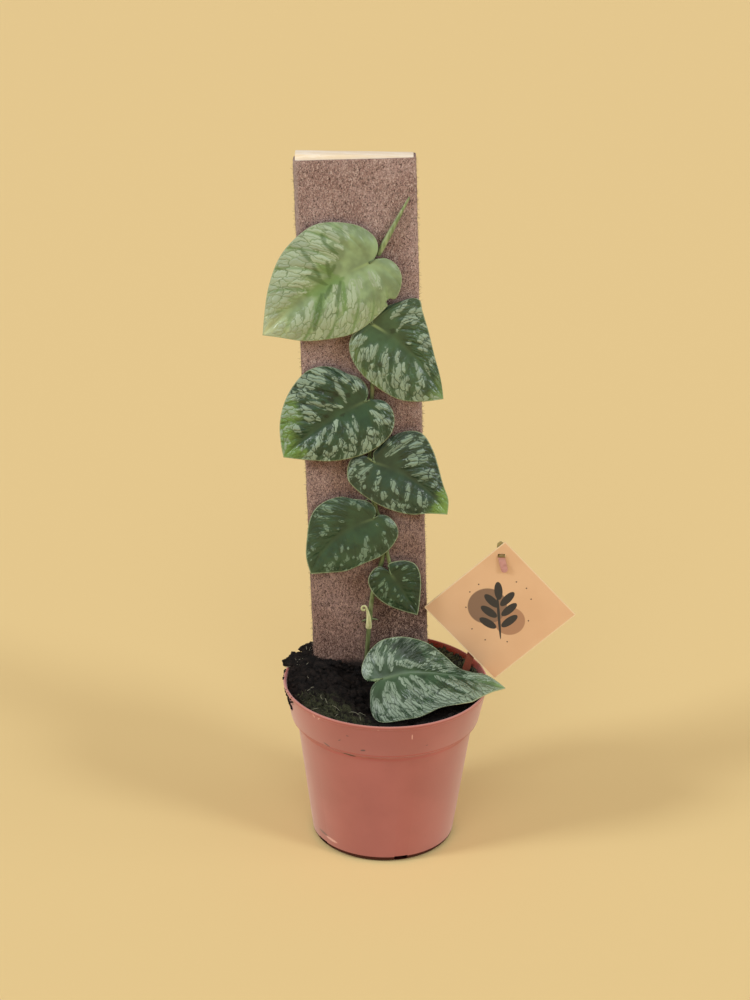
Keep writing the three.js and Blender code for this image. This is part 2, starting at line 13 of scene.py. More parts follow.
import bmesh
import bpy
from mathutils import Matrix, Vector, noise


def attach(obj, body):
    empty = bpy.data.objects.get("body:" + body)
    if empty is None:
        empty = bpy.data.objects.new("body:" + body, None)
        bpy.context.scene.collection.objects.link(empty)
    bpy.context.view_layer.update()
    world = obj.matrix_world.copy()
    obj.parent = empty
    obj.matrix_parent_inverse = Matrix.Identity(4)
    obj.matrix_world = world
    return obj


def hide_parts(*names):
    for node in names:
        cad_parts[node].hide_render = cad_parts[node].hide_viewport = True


MM = 0.001
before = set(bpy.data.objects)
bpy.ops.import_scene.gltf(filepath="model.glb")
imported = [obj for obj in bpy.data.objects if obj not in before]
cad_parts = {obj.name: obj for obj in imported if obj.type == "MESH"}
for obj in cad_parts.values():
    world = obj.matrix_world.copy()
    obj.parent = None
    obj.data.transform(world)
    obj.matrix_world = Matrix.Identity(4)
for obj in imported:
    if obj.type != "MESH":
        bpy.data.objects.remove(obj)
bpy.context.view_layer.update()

# %% [markdown]
# ## Node maths as Python
#
# Procedural finishes need many Math nodes. They could be placed one by one, but a formula is easier to
# read. `Wire` wraps an output socket and answers to + - * / and **, so a sum on wires adds the nodes for
# it.

# %% Wires
class Wire:
    """An output socket. A Python sum on it adds a Math node."""

    def __init__(self, finish, socket):
        self.finish = finish
        self.socket = socket

    def math(self, operation, *values):
        return self.finish.node("Math", {"operation": operation}, dict(enumerate(values)))

    def __add__(self, other):
        return self.math("ADD", self, other)

    def __sub__(self, other):
        return self.math("SUBTRACT", self, other)

    def __mul__(self, other):
        return self.math("MULTIPLY", self, other)

    def __truediv__(self, other):
        return self.math("DIVIDE", self, other)

    def __pow__(self, other):
        return self.math("POWER", self, other)

    def at_most(self, other):
        return self.math("MINIMUM", self, other)

    def at_least(self, other):
        return self.math("MAXIMUM", self, other)

    def alone(self, operation):
        """A Math node that needs only this wire."""
        return self.math(operation, self)

    def step(self, low, high):
        """0 below low, 1 above high and smooth between. With low above high it falls instead."""
        limits = {1: low, 2: high, 3: 0.0, 4: 1.0} if low < high else {1: high, 2: low, 3: 1.0, 4: 0.0}
        return self.finish.node("MapRange", {"interpolation_type": "SMOOTHSTEP"}, {0: self, **limits})


# %% [markdown]
# `Finish` holds one material. A finish is built up like paint: first a ground between two tones, then one
# colour after another over it, each with a wire that says where it shows. Colours are written as a screen
# shows them, from 0 to 255.

# %% Finishes
def rgb(red, green, blue):
    """A 0 to 255 colour in Blender's linear values."""
    shares = [value / 255 for value in (red, green, blue)]
    linear = [s / 12.92 if s < 0.04045 else ((s + 0.055) / 1.055) ** 2.4 for s in shares]
    return (*linear, 1.0)


class Finish:
    """A material in the making. Its shader's sockets are set by name."""

    def __init__(self, name):
        self.material = bpy.data.materials.new(name)
        self.material.use_nodes = True
        self.tree = self.material.node_tree
        self.shader = self.tree.nodes["Principled BSDF"]

    def node(self, kind, settings=None, inputs=None, output=0):
        node = self.tree.nodes.new("ShaderNode" + kind)
        for name, value in (settings or {}).items():
            setattr(node, name, value)
        for key, value in (inputs or {}).items():
            self.join(node.inputs[key], value)
        return Wire(self, node.outputs[output])

    def join(self, socket, value):
        if isinstance(value, Wire):
            self.tree.links.new(value.socket, socket)
        else:
            socket.default_value = value

    def set(self, **values):
        for name, value in values.items():
            self.join(self.shader.inputs[name.replace("_", " ")], value)

    def parts(self, vector):
        return [self.node("SeparateXYZ", {}, {0: vector}, axis) for axis in "XYZ"]

    def axes(self):
        """The place on the object as three wires, in millimetres."""
        return [part * 1000 for part in self.parts(self.node("TexCoord", output="Object"))]

    def place(self, scale=(1, 1, 1), turn=(0, 0, 0)):
        """Object coordinates in metres, stretched and turned."""
        spot = self.node("TexCoord", output="Object")
        return self.node("Mapping", {}, {"Vector": spot, "Rotation": turn, "Scale": scale})

    def away_from(self, centre, stretch=(1, 1, 1)):
        """The distance from a point in millimetres. Where the stretch is under 1, it grows more slowly."""
        seen = [along * share * MM for along, share in zip(centre, stretch)]
        inputs = {0: self.place(stretch), 1: seen}
        return self.node("VectorMath", {"operation": "DISTANCE"}, inputs, "Value") * 1000

    def noise(self, size, detail=2.0, roughness=0.5, where=None, distortion=0.0):
        """Soft random values about 0.5, with lumps of about `size` millimetres."""
        inputs = {"Vector": where or self.place(), "Scale": 1 / (size * MM), "Detail": detail}
        inputs.update({"Roughness": roughness, "Distortion": distortion})
        return self.node("TexNoise", {}, inputs)

    def mix(self, share, *colours):
        """The first colour where share is 0, the second where it is 1. Each is a wire or 0 to 255 values."""
        first, second = [colour if isinstance(colour, Wire) else rgb(*colour) for colour in colours]
        return self.node("Mix", {"data_type": "RGBA"}, {0: share, 6: first, 7: second}, 2)

    def ground(self, share, first, second):
        self.colour = self.mix(share, first, second)
        self.set(Base_Color=self.colour)

    def paint(self, share, colour):
        """Lays one more colour over the finish, where share is 1."""
        self.ground(share, self.colour, colour)

    def attribute(self, name, output="Fac"):
        return self.node("Attribute", {"attribute_name": name}, output=output)

    def bump(self, height, strength, depth):
        """depth is in millimetres."""
        inputs = {"Strength": strength, "Distance": depth * MM, "Height": height}
        self.set(Normal=self.node("Bump", {}, inputs, "Normal"))


# %% [markdown]
# ## Making pieces
#
# Every piece is modelled with bmesh operators and then becomes one object at the origin. A finer piece
# stands for one or more CAD nodes, which stay in the physics model but aren't shown. Small shapes are made
# apart and then gathered, because bmesh operators slow down as a mesh grows.

# %% From a bmesh to a piece
def make_piece(name, bm, finishes, nodes=(), crease=35):
    mesh = bpy.data.meshes.new(name)
    bm.to_mesh(mesh)
    bm.free()
    for finish in finishes:
        mesh.materials.append(finish.material)
    mesh.shade_smooth()
    mesh.set_sharp_from_angle(angle=math.radians(crease))
    piece = bpy.data.objects.new(name, mesh)
    bpy.context.collection.objects.link(piece)
    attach(piece, "root")
    if nodes:
        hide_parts(*nodes)
    print(f"{name}: {len(mesh.polygons)} faces")
    return piece


def gather(heap, small):
    """Moves a small bmesh into a large one."""
    mesh = bpy.data.meshes.new("part")
    small.to_mesh(mesh)
    small.free()
    heap.from_mesh(mesh)
    bpy.data.meshes.remove(mesh)


# %% [markdown]
# The few basic shapes are a box, a spike, an outline that is spun about an axis, and an open line of edges
# that grows step by step. Each place is a matrix: `move` shifts by millimetres and `turn` turns by radians.

# %% Basic shapes
def move(*place):
    return Matrix.Translation(Vector(place) * MM)


def turn(angle, axis):
    return Matrix.Rotation(angle, 4, axis)


def box(*sides):
    bm = bmesh.new()
    bmesh.ops.create_cube(bm, size=1)
    bm.transform(Matrix.Diagonal((*[side * MM for side in sides], 1)))
    return bm


def round_edges(bm, edges, radius, segments=3):
    bmesh.ops.bevel(bm, geom=edges, offset=radius * MM, offset_type="OFFSET", segments=segments, profile=0.5,
                    affect="EDGES", material=-1)


def edges_along_y(bm):
    return [edge for edge in bm.edges if abs((edge.verts[0].co - edge.verts[1].co).y) > 1e-5]


def add_spike(heap, place, lean, tall, thick, raised):
    """A three-sided spike. `raised` is how far its middle stands off the place, as a share of its height."""
    spike = bmesh.new()
    bmesh.ops.create_cone(spike, cap_ends=True, segments=3, radius1=thick, radius2=0.03, depth=tall)
    spike.transform(move(*place) @ lean @ Matrix.Scale(MM, 4) @ Matrix.Translation((0, 0, tall * raised)))
    gather(heap, spike)


def spun(profile, steps):
    """A bmesh of a closed outline of [radius, height] points, spun about the Z axis."""
    bm = bmesh.new()
    corners = [bm.verts.new((radius * MM, 0, height * MM)) for radius, height in profile]
    edges = [bm.edges.new(pair) for pair in zip(corners, corners[1:])]
    bmesh.ops.spin(bm, geom=corners + edges, cent=(0, 0, 0), axis=(0, 0, 1), angle=math.tau, steps=steps,
                   use_merge=True, use_duplicate=False)
    bmesh.ops.remove_doubles(bm, verts=bm.verts, dist=1e-6)
    bmesh.ops.recalc_face_normals(bm, faces=bm.faces)
    return bm


def grow(bm, edges):
    """Extrudes a line of edges on the spot and returns its new points and edges."""
    grown = bmesh.ops.extrude_edge_only(bm, edges=edges)["geom"]
    ring = [part for part in grown if isinstance(part, bmesh.types.BMVert)]
    chosen = set(ring)
    new_edges = [part for part in grown if isinstance(part, bmesh.types.BMEdge)]
    return ring, [edge for edge in new_edges if set(edge.verts) <= chosen]


# %% [markdown]
# Curves in this model run through a few chosen points. A Catmull-Rom curve passes through every one of
# them, and the centripetal kind never loops between close points, so the leaves and stems can be drawn with
# few points.

# %% Smooth paths
FINE_STEPS = 200


def curve_point(knots, t):
    """A point of the centripetal Catmull-Rom curve. The first and last knots only give its direction."""
    index = min(int(t), len(knots) - 4)
    p0, p1, p2, p3 = knots[index:index + 4]
    d1 = (p2 - p1).length ** 0.5
    d0 = max((p1 - p0).length ** 0.5, 1e-4)
    d2 = max((p3 - p2).length ** 0.5, 1e-4)
    leave = ((p1 - p0) / d0 - (p2 - p0) / (d0 + d1) + (p2 - p1) / d1) * d1
    arrive = ((p2 - p1) / d1 - (p3 - p1) / (d1 + d2) + (p3 - p2) / d2) * d1
    w = t - index
    square = 3 * (p2 - p1) - 2 * leave - arrive
    cube = 2 * (p1 - p2) + leave + arrive
    return p1 + leave * w + square * w ** 2 + cube * w ** 3


def smooth_path(points, count):
    """count + 1 points, evenly spaced, on the smooth curve through the given ones."""
    knots = [Vector(p) for p in points]
    knots = [2 * knots[0] - knots[1], *knots, 2 * knots[-1] - knots[-2]]
    spans = len(points) - 1
    samples = [curve_point(knots, spans * i / FINE_STEPS) for i in range(FINE_STEPS + 1)]
    reached = [0.0]
    for before, after in zip(samples, samples[1:]):
        reached.append(reached[-1] + (after - before).length)
    path = []
    index = 0
    for i in range(count + 1):
        wanted = reached[-1] * i / count
        while index < FINE_STEPS - 1 and reached[index + 1] < wanted:
            index += 1
        share = (wanted - reached[index]) / (reached[index + 1] - reached[index])
        path.append(curve_point(knots, spans * (index + min(share, 1)) / FINE_STEPS))
    return path


def rod(path, radii, sides=12):
    """A closed rod along a path: one ring of points, extruded from place to place."""
    bm = bmesh.new()
    direction = (path[1] - path[0]).normalized()
    facing = Vector((0, 0, 1)).rotation_difference(direction)
    ring = bmesh.ops.create_circle(bm, cap_ends=True, segments=sides, radius=1)["verts"]
    now = move(*path[0]) @ facing.to_matrix().to_4x4() @ Matrix.Scale(radii[0] * MM, 4)
    bmesh.ops.transform(bm, matrix=now, verts=ring)
    edges = bm.edges[:]
    for i in range(1, len(path)):
        ahead = (path[min(i + 1, len(path) - 1)] - path[i - 1]).normalized()
        facing = direction.rotation_difference(ahead) @ facing
        direction = ahead
        later = move(*path[i]) @ facing.to_matrix().to_4x4() @ Matrix.Scale(radii[i] * MM, 4)
        ring, edges = grow(bm, edges)
        bmesh.ops.transform(bm, matrix=later @ now.inverted(), verts=ring)
        now = later
    bmesh.ops.edgeloop_fill(bm, edges=edges)
    bmesh.ops.recalc_face_normals(bm, faces=bm.faces)
    return bm


def add_rod(heap, points, count, radii, sides=12):
    gather(heap, rod(smooth_path(points, count), radii, sides))


def fading(count, thick, start, end):
    """Radii of a rod that is `thick` in the middle and thins to the given shares of that at its ends."""
    radii = []
    for i in range(count + 1):
        share = i / count
        rise = start + (1 - start) * min(share / 0.25, 1) ** 0.6
        fall = end + (1 - end) * min((1 - share) / 0.25, 1) ** 0.6
        radii.append(max(thick * rise * fall, 0.02))
    return radii


# %% [markdown]
# ## Camera, light and floor
#
# The reference picture was taken with a long lens from a little above. A photographer would place the
# camera by eye. Here its place, tilt and roll were worked out from the ellipses of the pot, so the model
# fills the same part of the 750 by 1000 frame.

# %% Camera
IMAGE_HEIGHT = 1000
FOCAL_PIXELS = 2684.2
SENSOR = 36
CAMERA_PLACE = (-8.18, -1400.95, 822.87)
PITCH_DOWN = 0.41005
ROLL = 0.01805
camera_data = bpy.data.cameras.new("camera")
camera_data.sensor_fit = "VERTICAL"
camera_data.sensor_height = SENSOR
camera_data.lens = SENSOR * FOCAL_PIXELS / IMAGE_HEIGHT
camera_data.clip_end = 20
camera = bpy.data.objects.new("camera", camera_data)
bpy.context.collection.objects.link(camera)
camera.matrix_world = move(*CAMERA_PLACE) @ turn(math.pi / 2 - PITCH_DOWN, "X") @ turn(ROLL, "Z")
bpy.context.scene.camera = camera
bpy.context.scene.view_settings.view_transform = "Standard"

# %% [markdown]
# The picture has two wide soft shadows, one to each side, so the plant was lit from the left front and from
# the right front. Wide-angled sun lamps give such soft shadows and light the floor evenly, where area lamps
# would leave bright pools on it. A pair of weak low ones stands for reflectors that brighten the flanks,
# and a dim sky fills the shadows.

# %% Light
COOL_WHITE = (0.92, 0.98, 1.0)
WARM_WHITE = (1.0, 0.79, 0.63)
LIT_PLACE = Vector((0, 0, 0.1))
# Each lamp: name, direction it shines from, power and angle in degrees.
LAMPS = [
    ("left_window", (-2.1, -0.95, 1.5), 1.12, 14),
    ("right_window", (1.9, -1.2, 1.25), 1.02, 15),
    ("front_window", (-0.2, -1.6, 1.7), 0.72, 40),
    ("left_reflector", (-2, -0.5, 0.55), 0.5, 30),
    ("right_reflector", (2, -0.3, 0.55), 0.5, 30),
]
for name, place, power, spread in LAMPS:
    lamp = bpy.data.lights.new(name, "SUN")
    lamp.energy = power
    lamp.color = COOL_WHITE
    lamp.angle = math.radians(spread)
    holder = bpy.data.objects.new(name, lamp)
    bpy.context.collection.objects.link(holder)
    aim = (LIT_PLACE - Vector(place)).to_track_quat("-Z", "Y")
    holder.matrix_world = Matrix.Translation(place) @ aim.to_matrix().to_4x4()
world = bpy.data.worlds.new("studio")
world.use_nodes = True
sky = world.node_tree.nodes["Background"].inputs
sky["Color"].default_value = (*WARM_WHITE, 1)
sky["Strength"].default_value = 0.4
bpy.context.scene.world = world

# %% Floor
floor_finish = Finish("pale_paper")
floor_finish.set(Base_Color=rgb(238, 212, 152), Roughness=0.9)
floor_mesh = bmesh.new()
bmesh.ops.create_grid(floor_mesh, x_segments=1, y_segments=1, size=20)
floor_data = bpy.data.meshes.new("floor")
floor_mesh.to_mesh(floor_data)
floor_mesh.free()
floor_data.materials.append(floor_finish.material)
floor = bpy.data.objects.new("floor", floor_data)
bpy.context.collection.objects.link(floor)

# %% [markdown]
# ## The pot
#
# A nursery pot is moulded from thin satin plastic. Its outline is a single line that can be spun about the
# axis, which is how the real mould was turned. Drainage slots are then cut through the bottom corner with
# boxes.

# %% Pot sizes
WALL = 1.2
BASE_RADIUS = 37.4
CORNER = 4.5
SPIN_STEPS = 160
SLOT_COUNT = 5
SLOT_FIRST = 213
SLOT_PLACE = (39.4, 0, 2.8)
SLOT_SIZE = (9, 8, 3)


def corner_arc(radius, start, end, count):
    points = []
    for i in range(count + 1):
        angle = math.radians(start + (end - start) * i / count)
        points.append((BASE_RADIUS + radius * math.cos(angle), CORNER + radius * math.sin(angle)))
    return points


outside = [
    (0, 0), (20, 0), (20.6, 0.3), (22, 3), (32.9, 3), (34, 0.4), (34.8, 0), *corner_arc(CORNER, -90, -8, 8),
    (51.3, 73.1), (51.6, 74.6), (52.3, 75.9), (54.3, 77.3), (54.9, 77.8), (55.3, 78.8), (59.2, 97.2),
    (59.7, 97.7), (60, 98.3), (60, 99.2), (59.85, 99.6), (59.5, 99.85), (59.1, 99.8), (58.75, 99.5),
]
inside = [
    (58.1, 97.5), (54.1, 79.6), (53.6, 78.6), (51.3, 76.8), (50.6, 75.8), (50.3, 74.2),
    *corner_arc(CORNER - WALL, -8, -90, 6), (34.5, WALL), (33, 4.2), (21.6, 4.2), (20, WALL), (0, WALL),
]
print("pot outline:", len(outside + inside), "points")

# %% Spin the pot and cut its slots
def cut_with(bm, cutters):
    """Cuts boxes out of a bmesh with a Boolean modifier, whose result is read back into a new bmesh."""
    pair = []
    for name, shape in (("work", bm), ("cutter", cutters)):
        data = bpy.data.meshes.new(name)
        shape.to_mesh(data)
        shape.free()
        holder = bpy.data.objects.new(name, data)
        bpy.context.collection.objects.link(holder)
        pair.append(holder)
    modifier = pair[0].modifiers.new("cut", "BOOLEAN")
    modifier.operation = "DIFFERENCE"
    modifier.solver = "EXACT"
    modifier.object = pair[1]
    result = bmesh.new()
    result.from_object(pair[0], bpy.context.evaluated_depsgraph_get())
    for holder in pair:
        bpy.data.objects.remove(holder)
    return result


slots = bmesh.new()
for i in range(SLOT_COUNT):
    cutter = box(*SLOT_SIZE)
    cutter.transform(turn(math.radians(SLOT_FIRST + 360 * i / SLOT_COUNT), "Z") @ move(*SLOT_PLACE))
    gather(slots, cutter)
pot_shape = cut_with(spun(outside + inside, SPIN_STEPS), slots)

# %% [markdown]
# The plastic is a dusty terracotta. Soil has rubbed off on it in a few short dark strokes, and a few pale
# nicks show where it was knocked. One pale stroke low on the left is a painted glint, where the edge of a
# drainage slot catches the light. The inner wall looks darker and redder because little light gets in
# there. The foot and the two bends of the collar have finishes of their own: the foot is in deep shade, and
# the bends have less sheen and a pinker tone, painted to offset the warm light that the floor throws up
# into them.

# %% Marks on the pot
# Each mark on the front wall: x, height, half width and half height in millimetres, and slant in degrees.
DIRT_MARKS = [
    (-20.3, 75.1, 3.7, 0.7, -6), (-12.5, 81.8, 1.5, 0.6, 10), (-33.4, 79.6, 2, 0.5, -25),
    (-26, 86, 0.9, 0.3, 40), (-21.5, 90.5, 0.8, 0.3, 0), (24, 84, 0.7, 0.25, 20), (-35, 9.6, 2.6, 0.9, -10),
]
PALE_NICKS_AND_GLINT = [
    (15.4, 91.7, 0.35, 1.9, 0), (-41, 97.4, 0.35, 1.4, 20), (-38, 97, 0.3, 1.2, -25),
    # The last one, low on the left, is no nick but a painted glint on the edge of a drainage slot.
    (-4, 97.5, 0.8, 0.25, 0), (-30.2, 8.1, 3.4, 0.9, -8),
]


def oval(wires, mark):
    """The squared distance from a mark's centre, which is 1 on its edge."""
    sideways, height = wires
    x, z, half_width, half_height, slant = mark
    cosine, sine = math.cos(math.radians(slant)), math.sin(math.radians(slant))
    right = ((sideways - x) * cosine + (height - z) * sine) / half_width
    rise = ((height - z) * cosine - (sideways - x) * sine) / half_height
    return right * right + rise * rise


# %% Pot finish
def plastic(name, sheen, dark, light):
    """The terracotta plastic between two tones. Sheen makes walls seen at a low angle pale and dusty."""
    finish = Finish(name)
    sideways, depth, height = finish.axes()
    cloudy = finish.noise(34, 3)
    fine = finish.noise(1.3, 3, 0.6)
    finish.ground(cloudy.step(0.35, 0.68), dark, light)
    # Painted highlight: the top of the rim is lightened where it catches the light.
    finish.paint(height.step(98.9, 99.5) * 0.45, (214, 150, 136))
    inner = (sideways * sideways + depth * depth) ** 0.5 - height * 0.22
    finish.paint(inner.step(37.4, 36.9) * height.step(78.6, 80) * 0.95, (182, 66, 35))
    scuffs = finish.noise(2.2, 2, 0.5, finish.place((0.35, 0.35, 1.6), (0.25, 0.3, 0)))
    finish.paint(scuffs.step(0.72, 0.76) * 0.4, (120, 56, 46))
    for marks, strength, colour in ((DIRT_MARKS, 0.95, (66, 14, 8)), (PALE_NICKS_AND_GLINT, 0.7, (228, 180, 168))):
        for mark in marks:
            ragged = oval((sideways, height), mark) + fine * 1.2
            finish.paint(ragged.step(2.0, 1.1) * depth.step(0, -10) * strength, colour)
    finish.set(Roughness=cloudy * 0.1 + 0.32, Coat_Weight=0.35, Coat_Roughness=0.32, Specular_IOR_Level=0.5)
    finish.set(Sheen_Weight=sheen, Sheen_Roughness=0.5, Sheen_Tint=(1.0, 0.86, 0.94, 1.0))
    finish.set(Subsurface_Weight=0.06, Subsurface_Radius=(0.004, 0.0015, 0.001))
    finish.bump(cloudy + fine * 0.08, 0.35, 0.4)
    return finish


pot_finish = plastic("terracotta_plastic", 0.67, (152, 74, 68), (161, 82, 76))
# The bends' copy has little sheen and a pinker tone, painted to offset the warm floor light they catch.
seam_finish = plastic("terracotta_seam", 0.1, (161, 80, 82), (170, 88, 90))
foot_finish = Finish("shaded_foot")
foot_finish.set(Base_Color=rgb(62, 20, 14), Roughness=0.6, Specular_IOR_Level=0.2)

# %% Share out the pot's finishes
FOOT_TOP = 4.4
COLLAR_STEP = (73, 78.9)
UNDER_RIM = (97, 98.3)
for face in pot_shape.faces:
    middle = face.calc_center_median() / MM
    outward = face.normal.dot(Vector((middle.x, middle.y, 0))) > 0
    if middle.z < FOOT_TOP:
        face.material_index = 1
    elif outward and any(low < middle.z < high for low, high in (COLLAR_STEP, UNDER_RIM)):
        face.material_index = 2
make_piece("pot_shell", pot_shape, [pot_finish, foot_finish, seam_finish], ["pot"], crease=28)

# %% [markdown]
# ## The soil
#
# Potting soil is a heap of crumbs, not a smooth cushion. The surface is a fine disc of squares that follows
# the CAD mounds and is then roughened with fractal noise. Loose crumbs, moss and root fibres are laid on it
# as small closed shapes, because a bump map alone would leave the edge against the pot too clean.

# %% Soil sizes
SOIL_LEVEL = 95.5
SOIL_SQUARES = 150
EDGE_RADIUS = 57.8
WALL_SLOPE = 0.22
WIDEST_LEVEL = 97.5
# Each mound, or dip where the rise is negative: x, y, rise and spread.
MOUNDS = [(-40, 20, 8, 15), (-34, -30, 2.5, 14), (9, -24, -14, 22), (-15, -8, -5, 9), (34, 26, -5, 16),
          (-27, 11, -2.5, 7)]


def soil_height(x, y):
    z = SOIL_LEVEL
    for mound_x, mound_y, rise, spread in MOUNDS:
        z += rise * math.exp(-((x - mound_x) ** 2 + (y - mound_y) ** 2) / (2 * spread ** 2))
    return z + 0.6 * (math.sin(0.42 * x + 1.3) * math.sin(0.37 * y) + math.sin(0.31 * x - 0.53 * y))


def on_soil(x, y):
    """The height of the soil with its fractal lumps, which are about 5 wide and up to 1.1 high."""
    return soil_height(x, y) + 1.1 * noise.fractal(Vector((x, y, 0)) / 5, 0.9, 2.1, 5)


# %% Soil surface
soil_bed = bmesh.new()
bmesh.ops.create_grid(soil_bed, x_segments=SOIL_SQUARES, y_segments=SOIL_SQUARES, size=1)
for vert in soil_bed.verts:
    u, v = vert.co.x, vert.co.y
    x = u * math.sqrt(1 - v * v / 2)
    y = v * math.sqrt(1 - u * u / 2)
    z = on_soil(x * EDGE_RADIUS, y * EDGE_RADIUS)
    reach = EDGE_RADIUS + WALL_SLOPE * min(0, z - WIDEST_LEVEL) * math.hypot(x, y)
    vert.co = Vector((x * reach, y * reach, z)) * MM
rim_edges = [edge for edge in soil_bed.edges if edge.is_boundary]
for depth, radius in ((19, 49.134), (36, 45.6)):
    ring, rim_edges = grow(soil_bed, rim_edges)
    for vert in ring:
        flat = Vector((vert.co.x, vert.co.y)).normalized() * radius
        vert.co = Vector((*flat, SOIL_LEVEL - depth)) * MM
bmesh.ops.edgeloop_fill(soil_bed, edges=rim_edges)
bmesh.ops.recalc_face_normals(soil_bed, faces=soil_bed.faces)
print("soil surface:", len(soil_bed.faces), "faces")

# %% [markdown]
# Every crumb is a small icosphere. Crumbs lie all over the soil. More of them form the spill at the rear
# left, cling to the outside of the wall below it, make the ground coarse at the left and gather along the
# foot of the board.

# %% One crumb
LARGE_CRUMB = 1.9
crumb_dice = random.Random(11)


def on_circle(radius, angle):
    return radius * math.cos(angle), radius * math.sin(angle)


def add_crumb(heap, place, size, squash=0.8):
    """One lump, squashed, turned and dented. Only a large one needs finer faces."""
    lump = bmesh.new()
    bmesh.ops.create_icosphere(lump, subdivisions=2 if size > LARGE_CRUMB else 1, radius=1)
    shift = Vector([crumb_dice.uniform(0, 50) for _ in range(3)])
    for vert in lump.verts:
        vert.co *= 1 + 0.45 * noise.noise(vert.co * 1.6 + shift)
    lean = turn(crumb_dice.uniform(0, math.tau), "Z") @ turn(crumb_dice.uniform(-1, 1), "X")
    stretch = Matrix.Diagonal((size * crumb_dice.uniform(0.8, 1.5), size, size * squash, 1))
    lump.transform(move(*place) @ lean @ Matrix.Scale(MM, 4) @ stretch)
    gather(heap, lump)


# %% Crumbs on the soil and in the spill
SOIL_CRUMBS = 900
SPILL_CRUMBS = 420
SPILL = [Vector((-52, 20, 98.6)), Vector((-42, 35, 98.8))]
SPILL_TURN = Matrix.Rotation(math.radians(40), 3, "Z")
RIM_INNER = 57
SPILL_REACH = 62
crumbs = bmesh.new()
for _ in range(SOIL_CRUMBS):
    angle = crumb_dice.uniform(0, math.tau)
    x, y = on_circle(56.5 * math.sqrt(crumb_dice.random()), angle)
    size = 0.5 + 1.3 * crumb_dice.random() ** 2
    add_crumb(crumbs, (x, y, on_soil(x, y) + size * 0.25), size)
for i in range(SPILL_CRUMBS):
    direction = Vector([crumb_dice.gauss(0, 1) for _ in range(3)]).normalized()
    size = crumb_dice.uniform(0.6, 2.3)
    spot = Vector((direction.x * 7, direction.y * 9, abs(direction.z) * (3.4 if i % 2 else 3) - 0.6))
    spot.rotate(SPILL_TURN)
    spot += SPILL[i % 2]
    if spot.z < 99 and math.hypot(spot.x, spot.y) > RIM_INNER:
        spot.z = 100 + size * 0.4
    if math.hypot(spot.x, spot.y) < SPILL_REACH:
        add_crumb(crumbs, spot, size)

# %% Crumbs on the wall, at the left and along the board
# Each group on the wall: angle in degrees, drop below the rim, spread and number.
WALL_GROUPS = [(173, 1, 2, 30), (180, 2, 1.8, 14), (191, 3, 1.5, 12), (197, 6.5, 1.2, 40), (199, 9, 1.2, 16),
               (196, 4, 2, 12), (204, 5, 3, 6)]
RIM_OUTER = 59.9
RIM_TOP = 99.6
COARSE_CRUMBS = 90
BOARD_CRUMBS = 260
for angle, drop, spread, count in WALL_GROUPS:
    for _ in range(count):
        lower = max(drop + crumb_dice.gauss(0, spread), 0)
        size = crumb_dice.uniform(0.2, 0.75)
        around = math.radians(angle + crumb_dice.gauss(0, spread * 0.7))
        x, y = on_circle(RIM_OUTER - WALL_SLOPE * lower, around)
        add_crumb(crumbs, (x, y, RIM_TOP - lower), size, 1.3)
for _ in range(COARSE_CRUMBS):
    x, y = crumb_dice.gauss(-32, 9), crumb_dice.gauss(-8, 16)
    if math.hypot(x, y) < 53 and y < 14:
        size = crumb_dice.uniform(1.8, 3.4)
        add_crumb(crumbs, (x, y, on_soil(x, y) - size * 0.2), size, 0.7)
for _ in range(BOARD_CRUMBS):
    x = crumb_dice.uniform(-40, 2)
    size = crumb_dice.uniform(0.5, 1.7)
    ground = on_soil(x, 17)
    z = ground + abs(crumb_dice.gauss(0, 0.9)) * (0.5 + 0.9 * math.exp(-((x + 19) / 8) ** 2))
    forward = crumb_dice.uniform(0, 2.5) * (1 if z < ground + 1 else 0.3)
    add_crumb(crumbs, (x, 17.2 - forward, z), size)

# %% [markdown]
# Peat is almost black where it is damp and turns brown where a crumb has dried. Two sizes of noise decide
# which is which. A greenish film lies on the front left, where moss has started.

# %% Soil finish
FILM_CENTRE = (-30, -36, 96)
peat = Finish("damp_peat")
lumps = peat.noise(3.2, 4, 0.6)
grit = peat.noise(0.7, 2, 0.6)
peat.ground(lumps.step(0.4, 0.7), (10, 8, 8), (34, 27, 24))
peat.paint(grit.step(0.62, 0.72) * 0.7, (72, 56, 46))
film = peat.away_from(FILM_CENTRE).step(30, 12) * peat.noise(4, 3, 0.6).step(0.38, 0.54)
peat.paint(film * 0.85, (60, 63, 43))
peat.set(Roughness=0.95, Specular_IOR_Level=0.25)
peat.bump(lumps + grit * 0.5, 0.8, 0.8)
make_piece("soil_heap", soil_bed, [peat], ["soil"], crease=180)
make_piece("soil_crumbs", crumbs, [peat], crease=180)

# %% [markdown]
# Moss is a mat of very small leaves. A texture would stay flat, so short three-sided spikes are set in
# tufts at the front left, where the reference shows green growth. At the rear right the tufts grow on a low
# cushion of lumps.

# %% Moss
CUSHION_LUMPS = 480
MOSS_REACH = 55.5
# Each tuft: x, y, spread, number of spikes, tallest spike and how high a cushion it grows on.
TUFTS = [
    (-38, -30, 6, 340, 2.4, 0), (-28, -38, 6, 340, 2.4, 0), (-45, -20, 4, 150, 2.2, 0),
    (-12, -50, 5, 190, 2.2, 0), (2, -52, 3, 80, 2.2, 0), (24, 48, 2.6, 160, 3.2, 6),
    (33, 41, 3.4, 240, 3.2, 6), (42, 33, 3.4, 240, 3.2, 6), (49, 23, 3, 200, 3.2, 6),
    (52, 12, 2.4, 140, 3.2, 5),
]
moss_dice = random.Random(5)
moss = bmesh.new()
for _ in range(CUSHION_LUMPS):
    angle = math.radians(crumb_dice.uniform(2, 84))
    inward = 11 * crumb_dice.random() ** 1.4
    x, y = on_circle(55.6 - inward, angle)
    ground = on_soil(x, y)
    top = min(98.2 - inward * 0.3, ground + 7)
    z = top - (top - ground) * crumb_dice.random() ** 2
    add_crumb(moss, (x, y, z), crumb_dice.uniform(0.8, 1.8))
